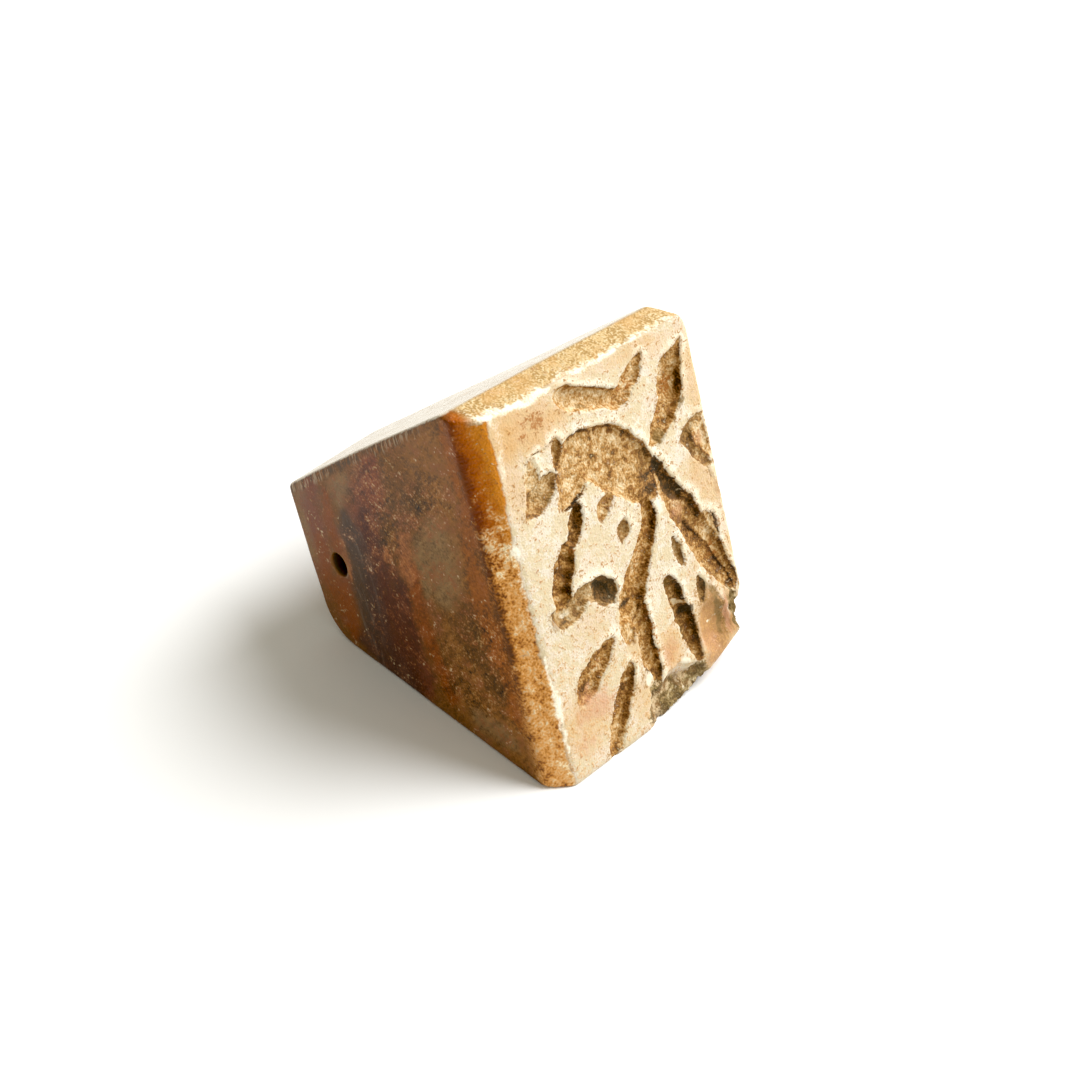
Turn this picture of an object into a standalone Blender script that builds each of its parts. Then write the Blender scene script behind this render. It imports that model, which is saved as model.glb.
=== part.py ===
"""Bead seal: a stone stamp with a string bore, lying on its lower slope.

The block is ground from a box by flat facets, bored across its narrow back,
and its face is cut with the gouge strokes of a horned animal.

Local axes of the stone, before it is laid down:
x across the face (along the bore), y from the face to the back, z up the face.
"""
import math

import bmesh
import bpy
from mathutils import Vector

MM = 0.001

# Block
FACE_HEIGHT = 22.0 * MM
FACE_WIDTH = 16.7 * MM
DEPTH = 17.0 * MM
UNDERSIDE_SLOPE = math.radians(21.6)
BACK_TOP_DROP = 5.65 * MM            # from the top of the face down to the back's top edge
UPPER_SLOPE_TURN = math.radians(3.5)  # how much the upper slope curves over, front to back
UPPER_SLOPE_ROLL = math.radians(4.0)  # its fall to each side of the crest, at the back
CREST_SHIFT = -1.5 * MM              # the crest lies left of the middle
SIDE_TAPER = math.radians(1.2)
GRIND_STEPS = 4

# Bevels round the face: how far each reaches on the face, and on the flat it runs into
LEFT_BEVEL = (1.4 * MM, 0.9 * MM)
RIGHT_BEVEL = (0.45 * MM, 0.6 * MM)
TOP_BEVEL = (1.2 * MM, 1.6 * MM)
BOTTOM_BEVEL = (0.3 * MM, 0.4 * MM)

# Rounded and worn corners
BACK_CORNER_RADIUS = 2.8 * MM
TOP_RIGHT_RADIUS = 3.3 * MM
BOTTOM_LEFT_RADIUS = 1.6 * MM
WORN_EDGE_START = 6.0 * MM           # across the face from its left side
WORN_EDGE_TILTS = (math.radians(5.5), math.radians(12.0), math.radians(19.5))
WORN_EDGE_RUN = 3.1 * MM             # length of the face's lower edge that each tilt takes
WORN_EDGE_LEAN = math.radians(38.0)  # the wear leans back under the face

# String bore, drilled from both sides until the two cones met
BORE_DROP = 10.65 * MM               # below the top of the face
BORE_DEPTH = 14.2 * MM               # behind the face
BORE_MOUTH_RADIUS = 0.72 * MM
BORE_WAIST_RADIUS = 0.56 * MM
BORE_SIDES = 20

# Gouge strokes, in millimetres: (across from the left side, down from the top, half width).
# The depth of a stroke is its half width times its "steep" value.
STROKES = {
    "left_antler": dict(steep=0.75, path=(
        (6.5, 1.95, 0.45), (7.5, 2.25, 0.7), (8.6, 2.8, 0.62), (9.7, 3.3, 0.6),
        (10.6, 3.55, 0.72), (11.4, 3.1, 0.62), (12.1, 2.6, 0.45), (12.7, 2.2, 0.26))),
    "right_antler": dict(steep=0.8, path=(
        (15.6, 2.45, 0.26), (15.15, 3.15, 0.55), (14.5, 3.75, 0.8), (14.25, 4.6, 0.95),
        (13.95, 5.3, 0.82), (13.3, 5.9, 0.68), (12.7, 6.45, 0.6), (12.1, 6.9, 0.42))),
    "ear": dict(steep=0.85, path=(
        (16.1, 6.85, 0.22), (15.3, 7.0, 0.36), (14.75, 7.35, 0.52), (14.7, 7.95, 0.58),
        (15.05, 8.6, 0.52), (15.5, 9.25, 0.42), (15.8, 9.9, 0.2))),
    "tail": dict(steep=0.8, path=(
        (4.9, 5.75, 0.35), (4.2, 6.2, 0.52), (3.5, 6.6, 0.55), (2.75, 7.05, 0.35))),
    "tail_root": dict(steep=0.5, path=(
        (3.45, 4.6, 0.25), (3.55, 5.3, 0.36), (3.6, 6.0, 0.4))),
    "rump": dict(steep=0.9, path=(
        (5.75, 4.0, 0.2), (5.6, 4.4, 0.32), (5.35, 4.9, 0.32), (5.3, 5.3, 0.2))),
    "haunch": dict(steep=0.3, path=(
        (6.9, 5.0, 0.9), (6.2, 6.0, 0.95), (5.6, 6.9, 0.8), (5.0, 7.4, 0.4))),
    "body": dict(steep=0.36, path=(
        (6.0, 4.75, 0.65), (7.2, 5.1, 1.0), (8.4, 5.7, 1.15), (9.6, 6.6, 1.2),
        (10.4, 7.6, 1.25), (10.7, 8.6, 1.05))),
    "hock": dict(steep=1.0, path=(
        (5.65, 8.0, 0.4), (5.55, 8.5, 0.58), (5.4, 9.0, 0.5), (5.1, 9.4, 0.28))),
    "hind_leg": dict(steep=0.95, path=(
        (4.65, 9.4, 0.4), (4.25, 10.2, 0.6), (3.85, 11.0, 0.66), (3.55, 11.7, 0.66),
        (3.35, 12.4, 0.45))),
    "hind_foot": dict(steep=0.95, path=(
        (2.65, 12.75, 0.25), (3.3, 13.1, 0.4), (4.2, 12.75, 0.52), (5.0, 12.5, 0.5),
        (5.8, 12.65, 0.62), (6.4, 12.85, 0.76), (6.8, 13.25, 0.5))),
    "udder_mark": dict(steep=1.0, path=(
        (7.35, 9.0, 0.3), (7.6, 8.65, 0.42), (8.1, 8.4, 0.36), (8.7, 8.3, 0.22))),
    "belly_mark": dict(steep=1.0, path=(
        (8.7, 9.9, 0.18), (8.62, 10.4, 0.4), (8.5, 10.95, 0.25))),
    "fore_leg": dict(steep=0.8, path=(
        (10.7, 8.8, 0.8), (10.5, 10.0, 0.62), (10.35, 11.0, 0.68), (9.8, 12.0, 0.78),
        (9.0, 13.0, 0.86), (8.3, 14.0, 0.9), (7.9, 14.9, 0.8))),
    "fore_foot": dict(steep=0.85, path=(
        (8.15, 14.8, 0.62), (8.4, 15.8, 0.5), (8.42, 16.8, 0.56), (8.42, 17.8, 0.64),
        (8.6, 18.8, 0.5), (8.8, 19.8, 0.35))),
    "fore_spur": dict(steep=0.45, path=(
        (7.6, 14.6, 0.5), (7.2, 15.4, 0.58), (7.15, 16.2, 0.35))),
    "left_dash": dict(steep=0.8, path=(
        (6.3, 15.5, 0.3), (5.6, 16.1, 0.5), (4.8, 16.7, 0.6), (4.0, 17.2, 0.68),
        (3.3, 17.65, 0.42))),
    "lower_dash": dict(steep=0.85, path=(
        (6.85, 17.6, 0.25), (6.55, 18.4, 0.5), (6.0, 19.2, 0.64), (5.5, 20.0, 0.62),
        (5.0, 20.8, 0.56), (4.6, 21.5, 0.42))),
    "neck": dict(steep=0.85, path=(
        (12.0, 7.5, 0.35), (12.35, 8.5, 0.62), (12.75, 9.5, 0.82), (13.05, 10.5, 1.0),
        (13.3, 11.5, 1.08), (13.65, 12.6, 0.95), (14.1, 13.7, 0.92), (14.5, 14.8, 0.95),
        (14.95, 15.9, 0.9), (15.45, 16.9, 0.7))),
    "cheek": dict(steep=0.7, path=(
        (14.7, 12.5, 0.4), (14.85, 13.1, 0.6), (14.95, 13.8, 0.4))),
    "throat_mark": dict(steep=1.0, path=(
        (11.95, 12.3, 0.14), (12.05, 13.0, 0.32), (12.1, 13.6, 0.37), (12.15, 14.05, 0.2))),
    "far_leg": dict(steep=1.35, path=(
        (10.95, 14.5, 0.35), (11.15, 15.3, 0.52), (11.4, 16.2, 0.56), (11.6, 17.2, 0.6),
        (11.75, 18.2, 0.6), (11.9, 19.2, 0.5), (12.05, 20.0, 0.3))),
    "breast_mark": dict(steep=1.0, path=(
        (13.2, 15.3, 0.18), (13.25, 16.0, 0.36), (13.15, 16.7, 0.25), (13.05, 17.1, 0.1))),
}
STROKE_RINGS = 3                     # rings between two points of a stroke
STROKE_WEAR = 1.1                    # worn lips make each stroke this much wider
RUN_OUT_REACH = 0.75                 # a stroke runs out past each end, in half widths
RUN_OUT_WIDTH = 0.45                 # and narrows to this share of its half width

# Losses: centre (across, down, depth of the centre in front of the face), half sizes, tilt
LOSSES = {
    "fracture_left": dict(centre=(8.6, 21.1, 0.4), half=(1.3, 1.3, 0.85), tilt=15.0),
    "fracture_middle": dict(centre=(9.9, 20.5, 0.5), half=(1.4, 1.3, 1.1), tilt=-20.0),
    "fracture_right": dict(centre=(11.2, 20.8, 0.4), half=(1.1, 1.0, 0.9), tilt=30.0),
    "corner_flake": dict(centre=(13.7, 18.6, 2.0), half=(2.2, 2.7, 2.45), tilt=15.0),
    "side_bite": dict(centre=(17.1, 19.3, -0.1), half=(1.6, 2.05, 1.5), tilt=0.0),
    "side_nick": dict(centre=(16.6, 11.2, 0.0), half=(0.35, 0.55, 0.35), tilt=0.0),
}
LOSS_SUBDIVISIONS = 3

STONE_COLOUR = (0.44, 0.25, 0.11, 1.0)
STONE_ROUGHNESS = 0.42


def clear_scene():
    for thing in list(bpy.data.objects):
        bpy.data.objects.remove(thing, do_unlink=True)


def new_collection(name):
    collection = bpy.data.collections.new(name)
    bpy.context.scene.collection.children.link(collection)
    return collection


def stone_material():
    material = bpy.data.materials.new("banded_jasper")
    material.use_nodes = True
    shader = material.node_tree.nodes["Principled BSDF"]
    shader.inputs["Base Color"].default_value = STONE_COLOUR
    shader.inputs["Roughness"].default_value = STONE_ROUGHNESS
    shader.inputs["Metallic"].default_value = 0.0
    return material


def on_face(across, down, behind=0.0):
    """A place on the engraved face, given in millimetres from its upper left corner."""
    return Vector((across * MM - FACE_WIDTH / 2, behind * MM, FACE_HEIGHT - down * MM))


def grind(stone, point, normal):
    """Grind one flat facet: what lies beyond the plane is taken off."""
    everything = stone.verts[:] + stone.edges[:] + stone.faces[:]
    cut = bmesh.ops.bisect_plane(
        stone, geom=everything, plane_co=point, plane_no=normal, clear_outer=True)
    rim = [part for part in cut["geom_cut"] if isinstance(part, bmesh.types.BMEdge)]
    if rim:
        bmesh.ops.contextual_create(stone, geom=rim)


def grind_round(stone, centre, radius, first, last, place):
    """Round an edge with facets tangent to a circle; place() turns an angle into a direction."""
    for step in range(1, GRIND_STEPS):
        normal = place(first + (last - first) * step / GRIND_STEPS)
        grind(stone, centre + normal * radius, normal)


def grind_upper_slope(stone):
    """A slope that turns down a little towards the back, and there falls to each side."""
    run = Vector((0, DEPTH, -BACK_TOP_DROP))
    mean = math.atan2(BACK_TOP_DROP, DEPTH)
    radius = run.length / UPPER_SLOPE_TURN
    for step in range(GRIND_STEPS):
        share = step / (GRIND_STEPS - 1)
        turn = (share - 0.5) * UPPER_SLOPE_TURN
        crown = radius * (math.cos(turn) - math.cos(UPPER_SLOPE_TURN / 2))
        crest = Vector((CREST_SHIFT, 0, FACE_HEIGHT)) + run * share
        crest += Vector((0, math.sin(mean), math.cos(mean))) * crown
        for side in (-1, 1):
            roll = side * share * UPPER_SLOPE_ROLL
            normal = Vector((math.sin(roll), math.sin(mean + turn), math.cos(mean + turn)))
            grind(stone, crest, normal.normalized())


def grind_bevels(stone):
    """The four bevels round the face, each a plane through its two named reaches."""
    half = FACE_WIDTH / 2
    mean = math.atan2(BACK_TOP_DROP, DEPTH)
    reach, run = LEFT_BEVEL
    grind(stone, Vector((-half, run, 0)), Vector((-run, -reach, 0)).normalized())
    reach, run = RIGHT_BEVEL
    grind(stone, Vector((half, run, 0)), Vector((run, -reach, 0)).normalized())
    reach, run = TOP_BEVEL
    back, fall = run * math.cos(mean), reach - run * math.sin(mean)
    grind(stone, Vector((0, 0, FACE_HEIGHT - reach)), Vector((0, -fall, back)).normalized())
    reach, run = BOTTOM_BEVEL
    grind(stone, Vector((0, 0, reach)), Vector((0, -reach, -run)).normalized())


def grind_corners(stone):
    half = FACE_WIDTH / 2
    radius = TOP_RIGHT_RADIUS
    grind_round(
        stone, Vector((half - radius, 0, FACE_HEIGHT - radius)), radius, 0, math.pi / 2,
        lambda turn: Vector((math.cos(turn), 0, math.sin(turn))))
    radius = BOTTOM_LEFT_RADIUS
    grind_round(
        stone, Vector((radius - half, 0, radius)), radius, math.pi, math.pi * 1.5,
        lambda turn: Vector((math.cos(turn), -0.35, math.sin(turn))).normalized())
    radius = BACK_CORNER_RADIUS
    opening = math.pi / 2 - UNDERSIDE_SLOPE
    centre_y = DEPTH - radius
    centre_z = centre_y * math.tan(UNDERSIDE_SLOPE) + radius / math.cos(UNDERSIDE_SLOPE)
    grind_round(
        stone, Vector((0, centre_y, centre_z)), radius, 0, -opening,
        lambda turn: Vector((0, math.cos(turn), math.sin(turn))))
    point = Vector((WORN_EDGE_START - half, 0, 0))
    for tilt in WORN_EDGE_TILTS:
        normal = Vector((math.sin(tilt), -math.sin(WORN_EDGE_LEAN), -math.cos(tilt)))
        grind(stone, point, normal.normalized())
        point = point + Vector((math.cos(tilt), 0, math.sin(tilt))) * WORN_EDGE_RUN


def ground_block():
    stone = bmesh.new()
    bmesh.ops.create_cube(stone, size=1.0)
    bmesh.ops.scale(stone, vec=(FACE_WIDTH, DEPTH, FACE_HEIGHT), verts=stone.verts)
    bmesh.ops.translate(stone, vec=(0, DEPTH / 2, FACE_HEIGHT / 2), verts=stone.verts)
    slope = UNDERSIDE_SLOPE
    grind(stone, Vector((0, 0, 0)), Vector((0, math.sin(slope), -math.cos(slope))))
    for side in (-1, 1):
        normal = Vector((side * math.cos(SIDE_TAPER), math.sin(SIDE_TAPER), 0))
        grind(stone, Vector((side * FACE_WIDTH / 2, 0, 0)), normal)
    grind_upper_slope(stone)
    grind_bevels(stone)
    grind_corners(stone)
    mesh = bpy.data.meshes.new("stone")
    stone.to_mesh(mesh)
    stone.free()
    return mesh


def mesh_from_curve(curve_object, collection):
    """The same tube as a closed mesh, its caps welded on."""
    evaluated = curve_object.evaluated_get(bpy.context.evaluated_depsgraph_get())
    mesh = bpy.data.meshes.new_from_object(evaluated)
    welded = bmesh.new()
    welded.from_mesh(mesh)
    bmesh.ops.remove_doubles(welded, verts=welded.verts, dist=0.001 * MM)
    bmesh.ops.recalc_face_normals(welded, faces=welded.faces)
    welded.to_mesh(mesh)
    welded.free()
    tube = bpy.data.objects.new(curve_object.name + "_gouge", mesh)
    tube.matrix_world = curve_object.matrix_world
    collection.objects.link(tube)
    bpy.data.objects.remove(curve_object, do_unlink=True)
    return tube


def with_run_outs(path):
    """The path with one more point past each end, where the gouge comes in and leaves."""
    tips = []
    for end, inner in ((path[0], path[1]), (path[-1], path[-2])):
        place, half_width = Vector(end[:2]), end[2]
        outward = (place - Vector(inner[:2])).normalized()
        tip = place + outward * half_width * RUN_OUT_REACH
        tips.append((tip.x, tip.y, half_width * RUN_OUT_WIDTH))
    return [tips[0], *path, tips[1]]


def stroke_cutter(name, path, steep, collection):
    """A gouge stroke: a tube of changing radius along the face, flattened to its depth."""
    curve = bpy.data.curves.new(name, "CURVE")
    curve.dimensions = "3D"
    curve.bevel_depth = MM
    curve.bevel_resolution = 2
    curve.resolution_u = STROKE_RINGS
    curve.use_fill_caps = True
    spline = curve.splines.new("BEZIER")
    route = with_run_outs(path)
    spline.bezier_points.add(len(route) - 1)
    for point, (across, down, half_width) in zip(spline.bezier_points, route):
        point.co = on_face(across, down)
        point.radius = half_width * STROKE_WEAR
        point.handle_left_type = "AUTO"
        point.handle_right_type = "AUTO"
    holder = bpy.data.objects.new(name, curve)
    collection.objects.link(holder)
    bpy.context.view_layer.update()
    tube = mesh_from_curve(holder, collection)
    for vertex in tube.data.vertices:
        vertex.co.y *= steep
    return tube


def loss_cutter(name, centre, half, tilt, collection):
    """A chip: a ball stretched to its half sizes that dips into the face."""
    across, down, before = centre
    ball = bmesh.new()
    bmesh.ops.create_icosphere(ball, subdivisions=LOSS_SUBDIVISIONS, radius=1.0)
    half_x, half_z, half_y = (size * MM for size in half)
    bmesh.ops.scale(ball, vec=(half_x, half_y, half_z), verts=ball.verts)
    mesh = bpy.data.meshes.new(name)
    ball.to_mesh(mesh)
    ball.free()
    chip = bpy.data.objects.new(name, mesh)
    chip.location = on_face(across, down, -before)
    chip.rotation_euler = (0, math.radians(tilt), 0)
    collection.objects.link(chip)
    return chip


def bore_cutter(side, collection):
    """One half of the bore: a cone from its mouth to the waist, a little past the middle."""
    length = FACE_WIDTH * 0.56
    cone = bmesh.new()
    bmesh.ops.create_cone(
        cone, cap_ends=True, segments=BORE_SIDES, radius1=BORE_WAIST_RADIUS,
        radius2=BORE_MOUTH_RADIUS, depth=length)
    mesh = bpy.data.meshes.new("bore")
    cone.to_mesh(mesh)
    cone.free()
    bore = bpy.data.objects.new("bore_left" if side < 0 else "bore_right", mesh)
    middle = on_face(0, BORE_DROP / MM, BORE_DEPTH / MM)
    bore.location = Vector((side * (length / 2 - 0.02 * FACE_WIDTH), middle.y, middle.z))
    bore.rotation_euler = (0, side * math.pi / 2, 0)
    collection.objects.link(bore)
    return bore


def lay_down(stone):
    """Lean the stone back onto its lower slope and centre it over the origin."""
    stone.rotation_euler = (-UNDERSIDE_SLOPE, 0, 0)
    bpy.context.view_layer.update()
    corners = [stone.matrix_world @ vertex.co for vertex in stone.data.vertices]
    lows = [min(corner[axis] for corner in corners) for axis in range(3)]
    highs = [max(corner[axis] for corner in corners) for axis in range(3)]
    stone.location = (-(lows[0] + highs[0]) / 2, -(lows[1] + highs[1]) / 2, -lows[2])


def main():
    clear_scene()
    parts = new_collection("bead_seal")
    cutters = new_collection("cutters")
    stone = bpy.data.objects.new("seal_stone", ground_block())
    stone.data.materials.append(stone_material())
    parts.objects.link(stone)
    tools = [stroke_cutter(name, stroke["path"], stroke["steep"], cutters)
             for name, stroke in STROKES.items()]
    tools += [loss_cutter(name, loss["centre"], loss["half"], loss["tilt"], cutters)
              for name, loss in LOSSES.items()]
    tools += [bore_cutter(side, cutters) for side in (-1, 1)]
    for tool in tools:
        tool.parent = stone
        tool.hide_render = True
        tool.display_type = "WIRE"
    carving = stone.modifiers.new("carving", "BOOLEAN")
    carving.operation = "DIFFERENCE"
    carving.operand_type = "COLLECTION"
    carving.collection = cutters
    carving.solver = "EXACT"
    lay_down(stone)


main()
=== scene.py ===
# Bead seal: a stone stamp on a white table, lying on its lower slope
import itertools
import math
from functools import partial
import bmesh
import bpy
import numpy as np
from mathutils import Euler, Matrix, Vector


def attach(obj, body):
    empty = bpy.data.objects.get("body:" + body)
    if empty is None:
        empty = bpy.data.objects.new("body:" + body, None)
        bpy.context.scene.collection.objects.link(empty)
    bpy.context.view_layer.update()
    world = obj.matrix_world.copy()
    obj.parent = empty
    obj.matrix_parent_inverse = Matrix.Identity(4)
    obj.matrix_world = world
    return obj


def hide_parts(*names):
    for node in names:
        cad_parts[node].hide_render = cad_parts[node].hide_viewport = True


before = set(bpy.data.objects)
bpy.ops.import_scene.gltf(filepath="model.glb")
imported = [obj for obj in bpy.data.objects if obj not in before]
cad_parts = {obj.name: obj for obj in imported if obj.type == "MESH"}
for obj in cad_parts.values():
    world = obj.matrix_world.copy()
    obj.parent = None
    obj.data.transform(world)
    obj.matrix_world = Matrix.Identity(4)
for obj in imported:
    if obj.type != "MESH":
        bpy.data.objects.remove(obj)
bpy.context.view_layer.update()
print("frame loaded")

mm = 0.001


def linearColour(hexText):
    parts = [int(hexText[i:i + 2], 16) / 255 for i in (1, 3, 5)]
    return tuple(c / 12.92 if c < 0.04045 else ((c + 0.055) / 1.055) ** 2.4 for c in parts) + (1.0,)


def newObject(name, data):
    made = bpy.data.objects.new(name, data)
    bpy.context.scene.collection.objects.link(made)
    return made


def smoothStep(x, low=0, high=1):
    # 0 below low, 1 above high and a soft step between
    t = np.clip((x - low) / (high - low), 0, 1)
    return t * t * (3 - 2 * t)


def smoothMax(a, b, softness):
    # The larger of the two, rounded where they meet
    h = np.clip(softness - np.abs(a - b), 0, None)
    return np.maximum(a, b) + h * h / (4 * softness)


def smoothNoise(points, size, seed):
    # A smooth random field from -1 to 1 whose lumps are about size mm across
    cell = points / size + seed * 17.31
    base = np.floor(cell).astype(np.int64)
    part = smoothStep(cell - base)
    total = np.zeros(len(points))
    for corner in itertools.product((0, 1), repeat=3):
        k = base + np.array(corner)  # a scrambled whole number for each corner
        h = (k[:, 0] * 73856093) ^ (k[:, 1] * 19349663) ^ (k[:, 2] * 83492791) ^ (seed * 2654435)
        h = ((h ^ (h >> 13)) * 1274126177) & 0xFFFFFFFF
        h = h ^ (h >> 15)
        weight = np.prod(np.where(corner, part, 1 - part), axis=1)
        total += ((h & 0xFFFF) / 32767.5 - 1) * weight
    return total


# Crooked borders: (lump size, how far) in mm of the noises that move each kind of place about
waver = {
    "losses": ((1.1, 0.22), (0.45, 0.13), (0.22, 0.06)),
    "fracture": ((1.2, 0.25), (0.5, 0.16), (0.22, 0.07)),
    "strokes": ((0.9, 0.09), (0.42, 0.09), (0.2, 0.055), (0.12, 0.03)),
    "burnishHighlight": ((0.9, 0.1), (0.35, 0.1), (0.15, 0.05)),
    "coats": ((1.0, 0.12), (0.4, 0.1), (0.18, 0.05)),
    "bands": ((2.4, 0.22), (1.0, 0.24), (0.5, 0.16)),
}


def wobble(uv, kind):
    # Places on the face moved about by smooth noises
    flat = np.column_stack([uv, np.zeros(len(uv))])
    moved = uv.copy()
    for k, (size, far) in enumerate(waver[kind]):
        moved[:, 0] += smoothNoise(flat, size, 3 + 2 * k) * far
        moved[:, 1] += smoothNoise(flat, size, 4 + 2 * k) * far
    return moved


def inOval(uv, centre, half, tilt):
    # Places on the face measured from the middle of a tilted oval, in its half sizes
    turn = math.radians(tilt)
    du, dv = uv[:, 0] - centre[0], uv[:, 1] - centre[1]
    return ((du * math.cos(turn) + dv * math.sin(turn)) / half[0],
            (dv * math.cos(turn) - du * math.sin(turn)) / half[1])


# The stone is worked out in its own millimetres: x across, y from the face to the back, z up the face
block = {
    "faceHeight": 22.0,
    "faceWidth": 16.7,
    "depth": 17.0,
    "undersideSlope": 21.6,      # degrees
    "backTopDrop": 5.65,
    "slopeTurn": 3.5,            # degrees, the upper slope curves over this much
    "slopeRoll": 4.0,            # degrees, its fall to each side at the back
    "crestShift": -1.5,
    "crestWidth": 1.0,           # the crest is rounded over this much
    "sideTaper": 1.2,            # degrees
    "leftBevel": (1.4, 0.9),     # reach on the face, run down the side
    "rightBevel": (0.45, 0.6),
    "topBevel": (1.2, 1.6),
    "bottomBevel": (0.1, 0.15),
    "backRadius": 2.8,
    "topRightRadius": 3.3,
    "bottomLeftRadius": 2.2,
    "bottomLeftLean": -0.35,     # the lower left corner is rubbed off towards the face
    "wornStart": 6.0,            # the lower edge is rubbed away from here to the right
    "wornTilts": (5.5, 12.0, 19.5),
    "wornRun": 3.1,
    "wornLean": 38.0,
    "roundSteps": 12,            # facets that round a corner
    # wear where each set of facets meets the ones before it: face, underside and back, left side,
    # right side, left, right, top and bottom bevels, upper right corner, lower left corner, worn edge
    "edgeSoftness": (0.15, 0.3, 0.22, 0.22, 0.16, 0.16, 0.12, 0.12, 0.2, 0.2, 0.2),
    "place": (-0.0032, -10.9677, 0.0),
}
faceW, faceH = block["faceWidth"], block["faceHeight"]

# Chips: centre (across, down, in front of the face), half sizes, tilt in degrees
losses = {
    "fractureLeft": {"centre": (8.6, 21.1, 0.4), "half": (1.3, 1.3, 0.85), "tilt": 15},
    "fractureMiddle": {"centre": (9.9, 20.5, 0.5), "half": (1.4, 1.3, 1.1), "tilt": -20},
    "fractureRight": {"centre": (11.2, 20.8, 0.4), "half": (1.1, 1.0, 0.9), "tilt": 30},
    "cornerFlake": {"centre": (13.7, 18.6, 2.0), "half": (2.2, 2.7, 2.45), "tilt": 15},
    "sideBite": {"centre": (17.1, 19.3, -0.1), "half": (1.6, 2.05, 1.5), "tilt": 0},
    "sideNick": {"centre": (16.6, 11.2, 0.0), "half": (0.35, 0.55, 0.35), "tilt": 0},
}
lossWear = 0.08                  # how softly a chip meets the stone
lossRagged = (15.5, 2.8)         # its border is ragged below this height and nearer the face than this


def onFace(points):
    # Across from the left side and down from the top
    return np.column_stack([points[:, 0] + faceW / 2, faceH - points[:, 2]])


def toRow(points):
    # From the stone's own millimetres to the row frame in metres
    turn = Matrix.Rotation(-math.radians(block["undersideSlope"]), 3, "X")
    placed = points @ np.array(turn).T + np.array(block["place"])
    placed[:, 2] = np.maximum(placed[:, 2], 0.0)
    return placed * mm


def fromRow(points):
    turn = Matrix.Rotation(math.radians(block["undersideSlope"]), 3, "X")
    return (points / mm - np.array(block["place"])) @ np.array(turn).T


def facet(point, normal):
    n = np.array(normal, float)
    n /= np.linalg.norm(n)
    return (*n, float(n @ np.array(point, float)))


def roundFacets(centre, radius, first, last, place):
    found = []
    for step in range(1, block["roundSteps"]):
        n = np.array(place(first + (last - first) * step / block["roundSteps"]), float)
        n /= np.linalg.norm(n)
        found.append(facet(np.array(centre) + n * radius, n))
    return found


def blockFacets():
    b, half, deep = block, faceW / 2, block["depth"]
    groups = [[facet((0, 0, 0), (0, -1, 0))]]  # engraved face
    under = math.radians(b["undersideSlope"])
    bottom = [facet((0, 0, 0), (0, math.sin(under), -math.cos(under))), facet((0, deep, 0), (0, 1, 0))]
    radius = b["backRadius"]
    centreY = deep - radius
    centreZ = centreY * math.tan(under) + radius / math.cos(under)
    bottom += roundFacets((0, centreY, centreZ), radius, 0, under - math.pi / 2,
                          lambda turn: (0, math.cos(turn), math.sin(turn)))
    groups.append(bottom)
    taper = math.radians(b["sideTaper"])
    for side in (-1, 1):
        groups.append([facet((side * half, 0, 0), (side * math.cos(taper), math.sin(taper), 0))])
    for side, name in ((-1, "leftBevel"), (1, "rightBevel")):
        reach, run = b[name]
        groups.append([facet((side * half, run, 0), (side * run, -reach, 0))])
    mean = math.atan2(b["backTopDrop"], deep)
    reach, run = b["topBevel"]
    groups.append([facet((0, 0, faceH - reach), (0, run * math.sin(mean) - reach, run * math.cos(mean)))])
    reach, run = b["bottomBevel"]
    groups.append([facet((0, 0, reach), (0, -reach, -run))])
    radius = b["topRightRadius"]
    groups.append(roundFacets((half - radius, 0, faceH - radius), radius, 0, math.pi / 2,
                              lambda turn: (math.cos(turn), 0, math.sin(turn))))
    radius = b["bottomLeftRadius"]
    groups.append(roundFacets((radius - half, 0, radius), radius, math.pi, math.pi * 1.5,
                              lambda turn: (math.cos(turn), b["bottomLeftLean"], math.sin(turn))))
    worn, x, z = [], b["wornStart"] - half, 0.0
    lean = -math.sin(math.radians(b["wornLean"]))
    for tilt in map(math.radians, b["wornTilts"]):
        worn.append(facet((x, 0, z), (math.sin(tilt), lean, -math.cos(tilt))))
        x, z = x + math.cos(tilt) * b["wornRun"], z + math.sin(tilt) * b["wornRun"]
    groups.append(worn)
    return [(np.array(group), softness) for group, softness in zip(groups, b["edgeSoftness"])]


facetGroups = blockFacets()
downFacets = np.vstack([facetGroups[1][0], facetGroups[-1][0]])     # underside, back and worn edge
downFacets = downFacets[downFacets[:, 2] < -0.3]                    # without the ones that look back


def slopeArc():
    # Middle (y, z) and radius of the arc that the upper slope follows from front to back
    b, deep = block, block["depth"]
    mean, turn = math.atan2(b["backTopDrop"], deep), math.radians(b["slopeTurn"])
    radius = math.hypot(deep, b["backTopDrop"]) / turn
    rise = radius * (1 - math.cos(turn / 2)) - radius
    return deep / 2 + math.sin(mean) * rise, faceH - b["backTopDrop"] / 2 + math.cos(mean) * rise, radius


arcY, arcZ, arcRadius = slopeArc()


def slopeFall(x, y):
    # How far the upper slope falls away to each side of its crest
    share = np.clip(y / block["depth"], 0, 1) * math.tan(math.radians(block["slopeRoll"]))
    return share * np.sqrt((x - block["crestShift"]) ** 2 + block["crestWidth"])


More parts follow.
